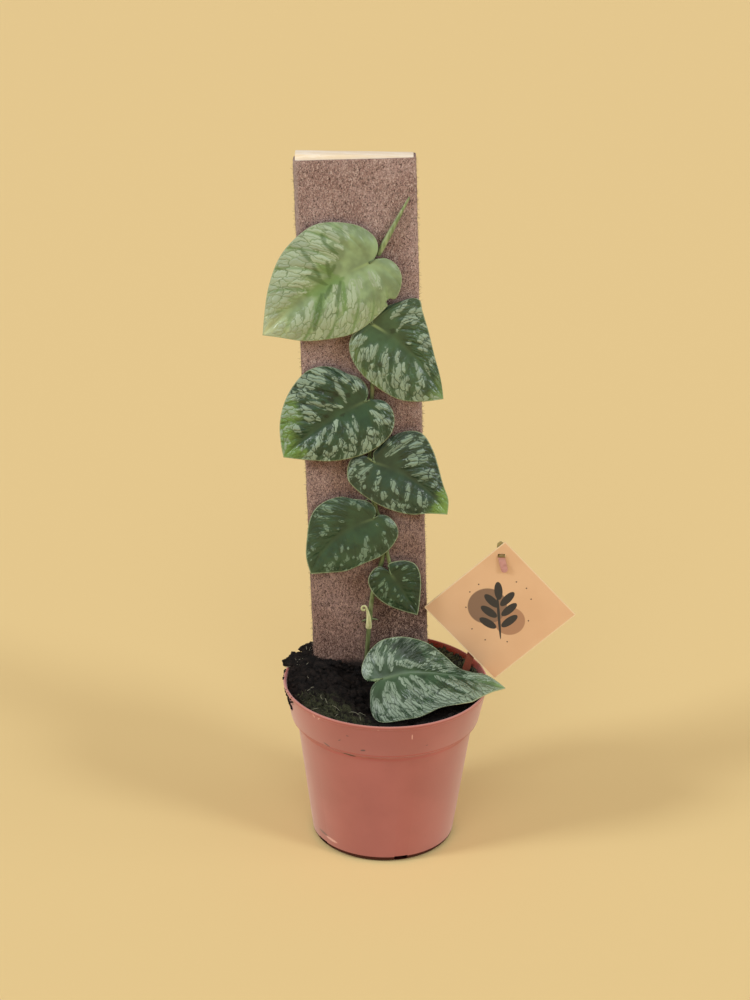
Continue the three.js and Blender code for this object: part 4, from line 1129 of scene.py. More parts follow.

# %% [markdown]
# Each mark is (along, across) at its two ends, in hundredths, and a half width in millimetres. `bright`
# marks are the fresh green patches and `dark` ones the plain deep green, except the two on leaf_7, which
# are a painted shadow over its upper half.

# %% Leaf marks
MARKS = {
    ("leaf_1", "upper", "silver"): [
        (50, 90, 56, 30, 2), (56, 95, 60, 35, 2), (63, 95, 66, 40, 2), (68, 90, 70, 40, 1.6),
        (74, 95, 75, 25, 2), (80, 90, 79, 20, 2.2), (85, 90, 86, 25, 1.8), (90, 80, 92, 30, 1.4),
        (40, 85, 48, 40, 1.6), (30, 90, 40, 50, 1.3),
    ],
    ("leaf_1", "upper", "bright"): [
        (66, 2, 78, 3, 1.2), (78, 30, 80, 0, 0.8), (62, 50, 66, 10, 0.8),
    ],
    ("leaf_1", "upper", "dark"): [
        (46, 78, 50, 62, 0.8), (50, 65, 53, 35, 0.7), (58, 80, 63, 55, 0.7), (60, 22, 65, 15, 0.8),
        (71, 40, 72, 0, 0.8), (60, 35, 68, 8, 0.8), (65, 45, 71, 15, 0.7),
    ],
    ("leaf_1", "lower", "silver"): [
        (58, 15, 60, 55, 2.6), (54, 13, 54, 28, 1.4), (68, 10, 68, 45, 2.2), (72, 30, 71, 75, 1.9),
        (80, 15, 80, 60, 2), (86, 30, 86, 80, 1.8), (45, 15, 40, 50, 1.8), (63, 60, 63, 90, 1.5),
        (55, 50, 52, 85, 1.5), (92, 20, 93, 60, 1),
    ],
    ("leaf_1", "lower", "bright"): [
        (64, 2, 78, 3, 1.1), (75, 10, 78, 60, 1), (64, 10, 64, 60, 0.6),
    ],
    ("leaf_1", "lower", "dark"): [
        (75, 10, 78, 75, 0.9), (65, 6, 69, 40, 0.7), (70, 4, 74, 20, 0.7),
    ],
    ("leaf_2", "upper", "silver"): [
        (34, 80, 45, 35, 1.1), (42, 85, 57.5, 25, 0.9), (43, 98, 53, 70, 1.1), (66, 90, 72, 50, 1.4),
        (75, 90, 81, 60, 1.1), (68, 33, 69, 22, 0.8), (83, 20, 90, 0, 0.8), (60, 90, 66, 60, 0.8),
    ],
    ("leaf_2", "upper", "bright"): [
        (88, 85, 98, 60, 1.6),
    ],
    ("leaf_2", "upper", "dark"): [
        (57, 17, 58, 13, 1.5),
    ],
    ("leaf_2", "lower", "silver"): [
        (40, 30, 28, 60, 1.2), (38, 45, 25, 95, 1), (50, 35, 42, 75, 1.3), (55, 25, 50, 60, 1.1),
        (60, 70, 50, 95, 1.1), (62, 20, 65, 60, 1.4), (70, 15, 71, 75, 1.4), (75, 25, 74, 50, 1),
        (80, 5, 88, 45, 1.1), (79, 45, 77, 80, 1.1), (85, 60, 87, 90, 0.8),
    ],
    ("leaf_2", "lower", "bright"): [
        (22, 95, 40, 97, 1.4), (40, 97, 62, 98, 1), (90, 90, 98, 60, 1.8),
    ],
    ("leaf_2", "lower", "dark"): [
        (60, 55, 60, 50, 1.2),
    ],
    ("leaf_3", "upper", "silver"): [
        (20, 71, 41.7, 23, 1.2), (22, 100, 39, 50, 1.1), (43, 62, 55.5, 13, 1.1), (45, 85, 50, 66, 0.9),
        (50, 95, 57.5, 70, 1.1), (55, 95, 62, 75, 1), (62, 95, 66.5, 80, 0.8), (70, 100, 75, 80, 0.9),
        (61, 10, 67, 60, 1), (66.5, 15, 67.5, 45, 0.9), (70, 65, 76, 15, 1.1), (77, 45, 79, 20, 0.9),
        (81, 70, 86, 28, 1), (90, 85, 92, 50, 0.8),
    ],
    ("leaf_3", "upper", "bright"): [
        (70, 90, 82, 86, 3), (83, 86, 97, 80, 2.6),
    ],
    ("leaf_3", "upper", "dark"): [
        (57, 60, 57, 54, 1.6), (54.5, 37, 54.5, 33, 1.3), (60, 35, 60, 30, 1.3), (64, 40, 64, 36, 1.1),
        (49, 24, 49, 20, 1.2), (72, 15, 72, 10, 1),
    ],
    ("leaf_3", "lower", "silver"): [
        (24, 35, 20, 75, 0.8), (40, 25, 32, 60, 1.1), (41, 45, 30, 80, 1.1), (49, 50, 44, 70, 1),
        (50, 55, 47, 85, 1), (54, 70, 53, 88, 0.9), (60, 80, 60, 93, 0.8), (58.5, 15, 58, 45, 1.1),
        (64, 25, 60, 65, 1.2), (69, 50, 66, 80, 1), (72, 65, 72.5, 85, 0.8), (70, 8, 77, 50, 1.1),
        (77, 10, 85, 60, 1.1), (88, 15, 91, 45, 0.8), (78, 70, 77, 85, 0.7), (83, 75, 83, 80, 0.6),
        (86, 78, 86, 84, 0.6),
    ],
    ("leaf_3", "lower", "bright"): [
        (90, 60, 98, 50, 1.8),
    ],
    ("leaf_3", "lower", "dark"): [
        (64, 2, 66, 2, 1),
    ],
    ("leaf_4", "upper", "silver"): [
        (20, 100, 35, 50, 0.8), (42, 80, 45, 20, 1.1), (47, 95, 50, 65, 1.1), (56, 80, 59, 40, 1.1),
        (60, 90, 64, 50, 0.9), (64, 50, 64, 15, 0.8), (70, 80, 73, 10, 1.1), (75, 65, 78.5, 8, 1),
        (79, 75, 84, 35, 0.9),
    ],
    ("leaf_4", "upper", "bright"): [
        (85, 97, 90, 70, 2), (94, 80, 98, 20, 2),
    ],
    ("leaf_4", "upper", "dark"): [
        (41, 60, 41, 55, 1),
    ],
    ("leaf_4", "lower", "silver"): [
        (37, 15, 36, 65, 1.4), (42, 50, 40, 70, 0.8), (25, 40, 20, 75, 0.9), (20, 75, 30, 90, 0.8),
        (51, 18, 51, 24, 0.8), (55, 30, 53, 50, 1), (56, 55, 54, 65, 0.8), (60, 60, 60, 80, 0.9),
        (45, 72, 45, 80, 0.7), (64, 25, 70, 50, 1.1), (75, 15, 76, 55, 1.1), (82, 20, 85, 65, 1),
        (87, 30, 88, 60, 0.8), (67, 70, 67, 85, 0.8), (71, 78, 71, 84, 0.6), (77, 72, 77, 79, 0.6),
        (81, 80, 81, 86, 0.6),
    ],
    ("leaf_4", "lower", "bright"): [
        (93, 50, 95, 85, 1.4), (95, 20, 98, 60, 1.6),
    ],
    ("leaf_4", "lower", "dark"): [
        (72, 62, 72, 58, 1), (41, 40, 41, 36, 0.9),
    ],
    ("leaf_5", "upper", "silver"): [
        (27, 85, 38, 60, 0.9), (30, 60, 40, 35, 0.8), (50, 90, 55, 65, 0.7), (58, 95, 60, 80, 0.6),
        (61, 38, 62, 25, 0.6), (67, 60, 72, 35, 0.8), (73, 60, 75, 40, 0.7), (70, 22, 70, 17, 0.5),
        (84, 70, 86, 50, 0.7), (92, 62, 92, 56, 0.5),
    ],
    ("leaf_5", "lower", "silver"): [
        (20, 60, 23, 85, 1.2), (40, 18, 40, 23, 0.5), (39, 47, 39, 53, 0.6), (42, 70, 42, 78, 0.6),
        (57, 35, 60, 50, 0.8), (60, 50, 57, 75, 0.8), (62, 60, 62, 85, 0.8), (67, 70, 66, 80, 0.6),
        (70, 67, 70, 73, 0.6), (76, 25, 78, 40, 0.8), (73, 37, 73, 43, 0.5), (82, 35, 82, 55, 0.7),
        (79, 77, 79, 83, 0.5), (85, 83, 85, 88, 0.5), (90, 57, 90, 63, 0.5),
    ],
    ("leaf_6", "upper", "silver"): [
        (28, 60, 32, 45, 0.6), (42, 70, 44, 45, 0.6), (48, 82, 48, 88, 0.5), (57.5, 38, 57.5, 32, 0.5),
        (62, 50, 61, 25, 0.6), (82, 50, 82, 30, 0.5), (89, 63, 89, 56, 0.4),
    ],
    ("leaf_6", "lower", "silver"): [
        (27, 60, 33, 75, 0.6), (44, 30, 50, 60, 0.6), (52, 30, 60, 50, 0.6), (60, 50, 64, 80, 0.6),
        (66, 20, 69, 30, 0.5), (74, 25, 75, 40, 0.5), (80, 30, 80, 45, 0.5), (55, 62, 55, 68, 0.4),
        (70, 67, 70, 73, 0.4), (40, 72, 40, 78, 0.4),
    ],
    ("leaf_7", "upper", "silver"): [
        (20, 85, 23, 50, 1.2), (28, 80, 35, 45, 1.3), (30, 70, 37, 30, 1.1), (43, 55, 48, 15, 1.1),
        (51, 30, 54, 22, 0.8), (61, 15, 68, 35, 0.8), (72, 40, 73, 15, 0.8), (74, 90, 78, 30, 1.2),
        (80, 100, 88, 30, 1.6), (86, 10, 94, 80, 1.1), (50, 34, 62, 13, 0.8), (56, 34, 70, 13, 0.8),
        (66, 50, 78, 16, 0.9), (33, 22, 38, 50, 0.8), (12, 85, 20, 50, 1),
    ],
    ("leaf_7", "upper", "bright"): [
        (97, 50, 100, 50, 1),
    ],
    # On leaf_7 these dark strokes are a painted shadow over its upper half.
    ("leaf_7", "upper", "dark"): [
        (45, 85, 62, 50, 3), (42, 78, 43, 72, 1.5),
    ],
    ("leaf_7", "lower", "silver"): [
        (28, 50, 26, 80, 1), (33, 60, 30, 85, 1), (45, 10, 37, 55, 1.3), (49, 15, 40, 80, 1.8),
        (36, 77, 36, 83, 0.8), (52, 60, 48, 90, 1.4), (56, 8, 60, 60, 1.5), (60, 35, 63, 55, 1.2),
        (63, 8, 70, 50, 1.7), (70, 50, 68, 90, 1.9), (75, 8, 80, 65, 1.4), (81, 5, 83, 55, 1.3),
        (87, 10, 86, 50, 1.2), (93, 30, 93, 60, 0.8), (55, 85, 70, 90, 1.1), (72, 90, 88, 85, 1),
        (90, 10, 95, 70, 1.1), (88, 60, 94, 90, 1),
    ],
    ("leaf_7", "lower", "bright"): [
        (97, 50, 100, 50, 1),
    ],
}
print("marks:", sum(len(marks) for marks in MARKS.values()))

# %% [markdown]
# The next helpers turn (along, across) into a flat position, and a flat position into space. The six leaves
# on the board lie in a plane that leans slightly. The seventh hangs free over the soil and arches along its
# own midrib.

# %% From shares to places
STALK_SHARE = 0.35
ARCH_SHARE = 18


def on_line(line, share):
    """The point at a share of an evenly spaced line."""
    slot = share * (len(line) - 1)
    index = min(int(slot), len(line) - 2)
    return line[index].lerp(line[index + 1], slot - index)


def bowed(leaf, share):
    """A point of the midrib, which bows sideways."""
    return Vector((leaf["length"] * share, leaf["bow"] * 4 * share * (1 - share)))


def flat_place(leaf, margin, side, along, across):
    start = bowed(leaf, max(0, (along - STALK_SHARE) / (1 - STALK_SHARE)) ** 1.8)
    chord = on_line(margin, along) - start
    bulge = 0.09 * 4 * across * (1 - across)
    return start + chord * across + Vector((-chord.y, chord.x)) * side * bulge


def smooth_share(value, low, high):
    share = min(max((value - low) / (high - low), 0), 1)
    return share * share * (3 - 2 * share)


def against_board(leaf, flat):
    hand = -1 if leaf["heading"] > 90 else 1
    heading = math.radians(leaf["heading"])
    x = leaf["at"][0] + flat.x * math.cos(heading) - flat.y * math.sin(heading) * hand
    z = leaf["at"][1] + flat.x * math.sin(heading) + flat.y * math.cos(heading) * hand
    return Vector((x, 12 + 0.1 * (z - leaf["at"][1]), z))


def over_soil(leaf, midrib, flat):
    point = on_line(midrib, min(max(flat.x / leaf["length"], 0), 1))
    if flat.x < 0:
        point = point + (midrib[1] - midrib[0]).normalized() * flat.x
    if flat.y > 0:
        tilt = math.radians(54 - 19 * smooth_share(flat.x, ARCH_SHARE, leaf["length"]))
    else:
        tilt = math.radians(42 - 31 * smooth_share(flat.x, ARCH_SHARE, 50))
    return point + Vector((0, flat.y * math.cos(tilt), flat.y * math.sin(tilt)))


# %% Margins and strokes of a leaf
MARGIN_STEPS = 150
# How much wider than its mark each kind of stroke is felt.
STROKE_SPREAD = {"silver": 1.35, "bright": 2.1, "dark": 1.3}
HALVES = {1: "upper", -1: "lower"}


def leaf_margin(leaf, side):
    line = smooth_path([(s, t, 0) for s, t in leaf[HALVES[side]]], MARGIN_STEPS)
    return [Vector((point.x, side * point.y)) for point in line]


def leaf_strokes(name, margin, side, kind):
    strokes = []
    for along_1, across_1, along_2, across_2, width in MARKS.get((name, HALVES[side], kind), []):
        start = flat_place(LEAVES[name], margin, side, along_1 / 100, across_1 / 100)
        end = flat_place(LEAVES[name], margin, side, along_2 / 100, across_2 / 100)
        strokes.append((start, end, width * STROKE_SPREAD[kind]))
    return strokes


def nearness(spot, strokes):
    """1 on the spine of the nearest stroke, 0.5 at its edge and 0 at twice its half width."""
    best = 0
    for start, end, width in strokes:
        line = end - start
        share = min(max((spot - start).dot(line) / max(line.length_squared, 1e-6), 0), 1)
        away = (spot - start - line * share).length
        taper = 0.55 + 0.45 * math.sin(math.pi * share)
        best = max(best, 1 - away / (2 * width * taper))
    return best


# %% [markdown]
# Every point of the grid keeps what the finish will ask for: how near it is to each kind of mark, to the
# margin and to the midrib, its flat place and its shares. The blade bulges on both sides of the midrib,
# swells between its side veins and is a little thicker where it is silver.

# %% Leaf blades
LEAF_COLUMNS = 44
LEAF_ROWS = 110


def lift_of(leaf, flat, along, across, half_width, silver):
    """How far the blade stands off its plane."""
    relief = 1 if "midrib" in leaf else leaf["length"] / 60
    room = min(1, half_width / (0.34 * leaf["length"])) ** 1.5
    bulge = (1.4 * math.sin(math.pi * across) ** 1.6 - 0.8 * across ** 4) * relief * room
    quilt = abs(math.sin(math.pi * (along - 0.03 * across) * leaf["veins"])) ** 0.8
    quilt *= math.sin(math.pi * across) ** 1.5 * smooth_share(flat.length, 0, 0.35 * leaf["length"])
    return bulge + (leaf["swelling"] * quilt + 0.5 * silver) * min(relief, 1) * room ** 0.5


def bitten(leaf, flat):
    """The place moved out of the bite, which an insect left near the lower margin."""
    bite_x, bite_y, radius = leaf["bite"]
    if abs(flat.x - bite_x) < radius:
        flat.y = max(flat.y, bite_y + math.sqrt(radius ** 2 - (flat.x - bite_x) ** 2))
    return flat


def leaf_blade(name):
    leaf = LEAVES[name]
    margins = {side: leaf_margin(leaf, side) for side in HALVES}
    strokes = {}
    for side, margin in margins.items():
        for kind in STROKE_SPREAD:
            strokes[side, kind] = leaf_strokes(name, margin, side, kind)
    midrib = smooth_path(leaf["midrib"], 80) if "midrib" in leaf else None
    blade = bmesh.new()
    bmesh.ops.create_grid(blade, x_segments=2 * LEAF_COLUMNS, y_segments=LEAF_ROWS, size=1)
    layers = {kind: blade.verts.layers.float.new(kind) for kind in (*STROKE_SPREAD, "margin", "rib")}
    flat_layer = blade.verts.layers.float_vector.new("flat")
    share_layer = blade.verts.layers.float_vector.new("shares")
    lifts = {}
    for vert in blade.verts:
        side = 1 if vert.co.x >= 0 else -1
        across = abs(vert.co.x)
        along = (vert.co.y + 1) / 2
        flat = flat_place(leaf, margins[side], side, along, across)
        if side < 0 and "bite" in leaf:
            flat = bitten(leaf, flat)
        for kind in STROKE_SPREAD:
            vert[layers[kind]] = nearness(flat, strokes[side, kind])
        edge = on_line(margins[side], along)
        vert[layers["margin"]] = (edge - flat).length
        on_rib = bowed(leaf, min(max(flat.x / leaf["length"], 0), 1))
        vert[layers["rib"]] = abs(flat.y - on_rib.y) if flat.x > 0 else flat.length
        vert[flat_layer] = Vector((flat.x, flat.y, 0))
        vert[share_layer] = Vector((along, across, side))
        half_width = (edge - flat_place(leaf, margins[side], side, along, 0)).length
        lifts[vert] = lift_of(leaf, flat, along, across, half_width, vert[layers["silver"]])
        vert.co = (over_soil(leaf, midrib, flat) if midrib else against_board(leaf, flat)) * MM
    for face in blade.faces:
        face.normal_update()
    blade.normal_update()
    return blade, lifts


def finished_blade(name):
    """The blade with its front to the camera and its relief added."""
    blade, lifts = leaf_blade(name)
    facing = sum((face.normal * face.calc_area() for face in blade.faces), Vector())
    if facing.y > 0:
        bmesh.ops.reverse_faces(blade, faces=blade.faces)
        blade.normal_update()
    normals = {vert: vert.normal.copy() for vert in blade.verts}
    for vert, lift in lifts.items():
        direction = normals[vert] if normals[vert].y < 0 else Vector((0, -1, 0))
        vert.co += direction * lift * MM
    bmesh.ops.remove_doubles(blade, verts=blade.verts, dist=2e-5)
    return blade


# %% [markdown]
# The finish of a leaf starts with its patterns. Silver lies in small cells between fine dark veinlets. The
# cells are a Voronoi pattern laid in the two shares, so they are long and narrow beside the midrib and
# round near the margin. Streaky noise follows the side veins too.

# %% Leaf patterns
# What most leaves have in common, and then what each has of its own. `cover` is how full of silver the upper
# and lower halves are, `net` how much the veinlets show, and `depth` how strong the fine relief is.
USUAL = {"bright": (106, 140, 68), "bright_show": 0.85, "tip_from": 0.84, "tip_cover": 0, "bare_start": False,
         "midrib": 0.04, "base": 0.16, "cells": 0.44}
LOOKS = {
    "leaf_1": {"green": (126, 147, 108), "silver": (158, 174, 147), "deep": (70, 98, 50),
               "tip": (194, 205, 162), "cover": (0.7, 0.8), "net": 0.42, "depth": 0.6, "bare_start": True,
               "bright": (102, 136, 74), "bright_show": 0.75, "tip_from": 0.68, "base": 0.8},
    "leaf_2": {"green": (60, 85, 58), "silver": (142, 162, 140), "deep": (30, 46, 30), "tip": (114, 144, 92),
               "cover": (0.3, 0.56), "net": 0.3, "depth": 0.99, "bright": (108, 134, 78), "bright_show": 0.55,
               "base": 0.8},
    "leaf_3": {"green": (44, 70, 49), "silver": (139, 161, 141), "deep": (24, 40, 26), "tip": (104, 142, 76),
               "cover": (0.52, 0.46), "net": 0.3, "depth": 0.99},
    "leaf_4": {"green": (44, 66, 50), "silver": (127, 150, 131), "deep": (26, 42, 30), "tip": (122, 158, 84),
               "cover": (0.28, 0.36), "net": 0.24, "depth": 0.792, "tip_from": 0.72},
    "leaf_5": {"green": (45, 69, 47), "silver": (109, 133, 111), "deep": (26, 40, 26), "tip": (56, 80, 52),
               "cover": (0.32, 0.4), "net": 0.14, "depth": 0.462},
    "leaf_6": {"green": (35, 57, 36), "silver": (100, 124, 98), "deep": (22, 36, 22), "tip": (46, 70, 44),
               "cover": (0.28, 0.34), "net": 0.14, "depth": 0.462},
    "leaf_7": {"green": (56, 79, 56), "silver": (140, 159, 138), "deep": (22, 37, 26), "tip": (122, 150, 96),
               "cover": (0.46, 0.48), "net": 0.3, "depth": 0.99, "tip_from": 0.66, "tip_cover": 0.4,
               "midrib": 0.34, "cells": 0.6},
}


class LeafFinish(Finish):
    """The upper side of one leaf, with the patterns that its colours and its relief share."""

    def __init__(self, name):
        super().__init__(name + "_top")
        self.look = {**USUAL, **LOOKS[name]}
        self.length = LEAVES[name]["length"]
        self.flat = self.attribute("flat", "Vector")
        self.along, self.across, self.side = self.parts(self.attribute("shares", "Vector"))
        self.from_stalk = self.parts(self.flat)[0]
        self.away = self.node("VectorMath", {"operation": "LENGTH"}, {0: self.flat}, "Value") / self.length
        self.far = self.away.step(0.15, 0.4)
        vein_count = LEAVES[name]["veins"] * math.pi
        waves = ((self.along - self.across * 0.03) * vein_count).alone("SINE")
        self.between_veins = waves.alone("ABSOLUTE")
        self.soft = self.node("TexNoise", {}, {"Vector": self.flat, "Scale": 0.1, "Detail": 2.0})
        self.add_cells()

    def add_cells(self):
        warp = self.node("TexNoise", {}, {"Vector": self.flat, "Scale": 0.3, "Detail": 2.0}, "Color")
        shaped = self.node("CombineXYZ", {}, {0: self.along + self.side * 3, 1: self.across ** 1.5, 2: 0})
        rates = (self.look["cells"] * self.length + 6, 0.026 * self.length + 1.7, 0)
        spot = self.node("VectorMath", {"operation": "MULTIPLY_ADD"}, {0: shaped, 1: rates, 2: warp})
        self.cell_value = self.node("SeparateColor", {}, {0: self.voronoi(spot, 1, "F1", "Color")}, 0)
        self.cell_edge = self.voronoi(spot, 1, "DISTANCE_TO_EDGE")
        self.small_edge = self.voronoi(spot, 2.6, "DISTANCE_TO_EDGE")
        stretch = (2.4 * self.length, 0.18 * self.length, 0)
        streak_spot = self.node("VectorMath", {"operation": "MULTIPLY"}, {0: shaped, 1: stretch})
        inputs = {"Vector": streak_spot, "Scale": 0.55, "Detail": 3.0, "Roughness": 0.65}
        self.streak = self.node("TexNoise", {}, inputs)

    def voronoi(self, spot, scale, feature, output=0):
        settings = {"voronoi_dimensions": "2D", "feature": feature}
        return self.node("TexVoronoi", settings, {"Vector": spot, "Scale": scale, "Randomness": 0.9}, output)

    def ragged(self, wire, amount):
        """The wire with feathery edges."""
        return wire + (self.streak - 0.5) * amount


# %% [markdown]
# Every cell has a random value. That value, the strokes and a rise towards the margin add up, and a
# threshold then decides which cells are silver. The youngest leaf is bare near its stalk, and the lowest
# has more silver near its tip.

# %% Leaf colours
def tinted(colour, amount):
    return [min(channel * amount, 255) for channel in colour]


def silver_share(leaf):
    upper, lower = leaf.look["cover"]
    cover = leaf.side.step(-0.5, 0.5) * (upper - lower) + lower
    if leaf.look["bare_start"]:
        cover = cover * leaf.away.step(0.2, 0.6)
    cover = cover + leaf.along.step(0.65, 0.95) * leaf.look["tip_cover"]
    rise = leaf.across.step(0.15, 0.9) * cover * (leaf.between_veins * 0.85 + 0.45)
    value = leaf.ragged(leaf.attribute("silver") * 0.95 + rise + (leaf.cell_value - 0.5) * 0.36, 1.15)
    return (value + (leaf.soft - 0.5) * 0.3).step(0.4, 0.62)


def paint_leaf(leaf, silver):
    look, length = leaf.look, leaf.length
    leaf.ground(leaf.soft.step(0.35, 0.65), tinted(look["green"], 0.92), tinted(look["green"], 1.12))
    bright = leaf.ragged(leaf.attribute("bright"), 0.6).step(0.0, 0.75)
    leaf.paint(bright * look["bright_show"], look["bright"])
    at_tip = (leaf.from_stalk / length + (leaf.soft - 0.5) * 0.15).step(look["tip_from"], 1)
    leaf.paint(at_tip * 0.85, look["tip"])
    inside_cell = leaf.cell_edge.step(0.02, 0.1) * (leaf.small_edge.step(0.0, 0.07) * 0.35 + 0.65)
    pale = leaf.mix(leaf.cell_value, tinted(look["silver"], 0.9), tinted(look["silver"], 1.05))
    leaf.paint(silver * inside_cell * 0.9, pale)
    net = leaf.cell_edge.step(0.09, 0.01) * leaf.across.step(0.1, 0.4) * leaf.along.step(0.99, 0.9)
    leaf.paint(net * leaf.far * look["net"], tinted(look["green"], 0.74))
    # Dark bands along the side veins: partly the leaf's own dark veins, partly painted shade in the grooves
    # between the swellings.
    veins = leaf.between_veins.step(0.35, 0.0) * leaf.across.step(0.05, 0.3) * leaf.along.step(0.97, 0.85)
    leaf.paint(veins * leaf.far * look["net"] * 1.3, tinted(look["deep"], 1.25))
    leaf.paint(leaf.ragged(leaf.attribute("dark"), 0.7).step(0.05, 0.7) * 0.7, look["deep"])


def paint_ribs(leaf):
    length = leaf.length
    rib = leaf.attribute("rib")
    width = leaf.from_stalk.step(0.9 * length, 0.1 * length) * 1.3 + 0.7
    fade = leaf.from_stalk.step(1.1 * length, 0.25 * length)
    leaf.paint((rib / width).step(1.3, 0) * fade * leaf.look["midrib"], (106, 132, 98))
    base = rib.step(1.4, 0.1) * leaf.from_stalk.step(0.2 * length, 0)
    leaf.paint(base * leaf.look["base"], (144, 166, 112))
    # Painted highlight: a pale line along the margin, where the edge catches the light.
    leaf.paint(leaf.attribute("margin").step(0.8, 0.3) * 0.6, (160, 174, 136))


# %% Make the leaves
LEAF_THICK = 0.6


def plain(name, colour, roughness):
    finish = Finish(name)
    finish.set(Base_Color=rgb(*colour), Roughness=roughness)
    return finish


for name in LEAVES:
    top = LeafFinish(name)
    silver = silver_share(top)
    paint_leaf(top, silver)
    paint_ribs(top)
    top.set(Roughness=silver * 0.1 + 0.3)
    relief = top.cell_edge.at_most(0.3) * 1.3 + top.streak * top.across * 0.4
    relief = relief + top.between_veins.at_most(0.6) * 0.5
    fading_out = top.far * top.across.step(0.03, 0.2) * top.along.step(1, 0.93)
    top.bump(relief * top.look["depth"] * fading_out, 1.0, 0.9)
    under = plain(name + "_underside", (118, 138, 96), 0.6)
    # The cut edge of the blade is pale as a painted highlight of the edge catching the light.
    rim = plain(name + "_rim", (172, 184, 142), 0.5)
    piece = make_piece(name + "_blade", finished_blade(name), [top, under, rim], [name], crease=60)
    thick = piece.modifiers.new("thickness", "SOLIDIFY")
    thick.thickness = LEAF_THICK * MM
    thick.offset = -1
    thick.material_offset = 1
    thick.material_offset_rim = 2

# %% [markdown]
# ## Card and stake
#
# The plant label is a square card that hangs on a plastic stake by a slot. The card is a thin plate with
# rounded corners. Its print is a simple sprig made from ovals in node maths, so it needs no picture and
# carries no words.

# %% Card
CARD_CENTRE = Vector((66.2, 17.1, 137.1))
CARD_SIDE = 63
CARD_THICK = 0.6
CARD_TURN = math.radians(-43)
CARD_SLOT = (66, 17.1, 172.7)
CARD_SLOT_SIZE = (4.6, 4, 2.2)
card = box(CARD_SIDE, CARD_THICK, CARD_SIDE)
round_edges(card, edges_along_y(card), 0.8)
card.transform(move(*CARD_CENTRE) @ turn(CARD_TURN, "Y"))
hole = box(*CARD_SLOT_SIZE)
hole.transform(move(*CARD_SLOT))
card = cut_with(card, hole)
print("card with its slot:", len(card.faces), "faces")

# %% Print on the card
INK = (52, 50, 49)
FLECK = (96, 74, 60)
# The leaves of the sprig: x, height and slant. Then the flecks: x and height.
SPRIG = [(-6.8, -8, 58), (5.8, -6.5, -50), (-6.4, -0.6, 54), (5.4, 1, -46), (-5, 6.4, 46), (4.1, 7.8, -40),
         (-1.3, 13, 6)]
FLECKS = [(-18, 12), (-13, 17), (15, 15), (18, 8), (17, -6), (-16, -12), (9, 19), (-8, -19), (5, -20),
          (-20, 2)]
card_finish = Finish("printed_card")
across, front, up = [wire - centre for wire, centre in zip(card_finish.axes(), CARD_CENTRE)]


def print_oval(colour, *mark):
    """Prints an oval on the front of the card: x, height, half width, half height and slant."""
    card_finish.paint(oval((across, up), mark).step(1.06, 0.94) * front.step(0, -0.2), colour)


card_finish.ground(card_finish.noise(30, 2).step(0.35, 0.65), (217, 176, 137), (222, 182, 143))
print_oval((172, 130, 100), 6, -6.5, 9, 9, 0)
print_oval((134, 106, 86), -7.5, 3, 11.5, 11.5, 0)
print_oval(INK, -0.5, -3.5, 0.8, 15, 6)
for x, z, slant in SPRIG:
    print_oval(INK, x, z, 2.4, 5.8, slant)
for x, z in FLECKS:
    print_oval(FLECK, x, z, 0.45, 0.45, 0)
cosine, sine = math.cos(CARD_TURN), math.sin(CARD_TURN)
to_side = (across * cosine - up * sine).alone("ABSOLUTE")
to_top = (across * sine + up * cosine).alone("ABSOLUTE")
# The cut edges are paler: partly the card's pale core, partly a painted highlight where they catch the light.
pale_core_and_highlight_edge = to_side.at_least(to_top).step(CARD_SIDE / 2 - 0.7, CARD_SIDE / 2 - 0.3)
card_finish.paint(pale_core_and_highlight_edge * 0.8, (236, 214, 178))
card_finish.set(Roughness=0.55)
make_piece("card_plate", card, [card_finish], ["tag_card"], crease=30)

# %% [markdown]
# The stake is a flat strap whose end is rounded. A small bridge passes through the card's slot, and a
# tongue lies on the front of the card below it.

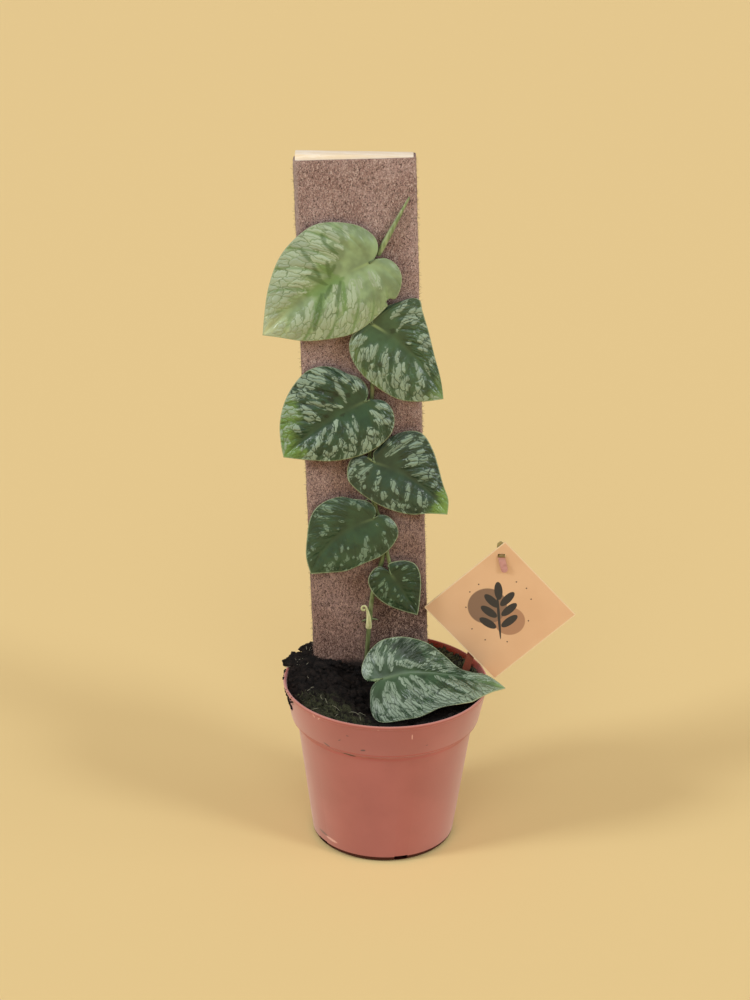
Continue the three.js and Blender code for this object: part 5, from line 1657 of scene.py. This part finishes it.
# %% Stake
STAKE_Y = 18.3
STAKE_PATH = [(37.5, 62), (47.6, 98), (57, 134), (65.4, 164), (65.2, 181)]
STAKE_STEPS = 120
STAKE_HALF_WIDTH = 2.2
STAKE_THICK = 1.2
TIP_ROUND = 2.6
BRIDGE_SIZE = (3.7, 3, 1.6)
TONGUE_SIZE = (3.9, 0.9, 11.4)
stake = bmesh.new()
line = smooth_path([(x, STAKE_Y, z) for x, z in STAKE_PATH], STAKE_STEPS)
pair = [stake.verts.new((0, 0, 0)) for _ in range(2)]
edges = [stake.edges.new(pair)]
for i, point in enumerate(line):
    ahead = (line[min(i + 1, STAKE_STEPS)] - line[max(i - 1, 0)]).normalized()
    to_tip = (line[-1] - point).length
    rounded = math.sqrt(max(1 - max(1 - to_tip / TIP_ROUND, 0) ** 2, 0.02))
    sideways = ahead.cross(Vector((0, 1, 0))) * STAKE_HALF_WIDTH * rounded
    if i:
        left = pair[0].co.copy()
        pair, edges = grow(stake, edges)
        pair.sort(key=lambda vert: (vert.co - left).length)
    pair[0].co = (point + sideways) * MM
    pair[1].co = (point - sideways) * MM
bmesh.ops.recalc_face_normals(stake, faces=stake.faces)
bmesh.ops.solidify(stake, geom=stake.faces[:], thickness=STAKE_THICK * MM)
off_centre = sum(vert.co.y for vert in stake.verts) / len(stake.verts) - STAKE_Y * MM
stake.transform(Matrix.Translation((0, -off_centre, 0)))
bridge = box(*BRIDGE_SIZE)
round_edges(bridge, bridge.edges[:], 0.6)
bridge.transform(move(66.2, 17.1, 172.7))
gather(stake, bridge)
tongue = box(*TONGUE_SIZE)
round_edges(tongue, edges_along_y(tongue), 1.8, 6)
tongue.transform(move(66.8, 16, 168.3) @ turn(math.radians(-15), "Y") @ turn(math.radians(-6), "X"))
gather(stake, tongue)

# %% Stake finish
stake_finish = Finish("olive_mauve_plastic")
height = stake_finish.axes()[2]
smudge = stake_finish.noise(4, 3)
stake_finish.ground(smudge.step(0.4, 0.65), (176, 124, 116), (194, 144, 138))
stake_finish.paint((height + smudge * 2).step(172.4, 173.4), (128, 106, 62))
stake_finish.paint(height.step(176, 178), (152, 140, 92))
stake_finish.paint(height.step(125, 115), (140, 76, 58))
stake_finish.set(Roughness=0.35, Subsurface_Weight=0.1, Subsurface_Radius=(0.002, 0.001, 0.001))
make_piece("stake_strip", stake, [stake_finish], ["tag_stake"], crease=40)
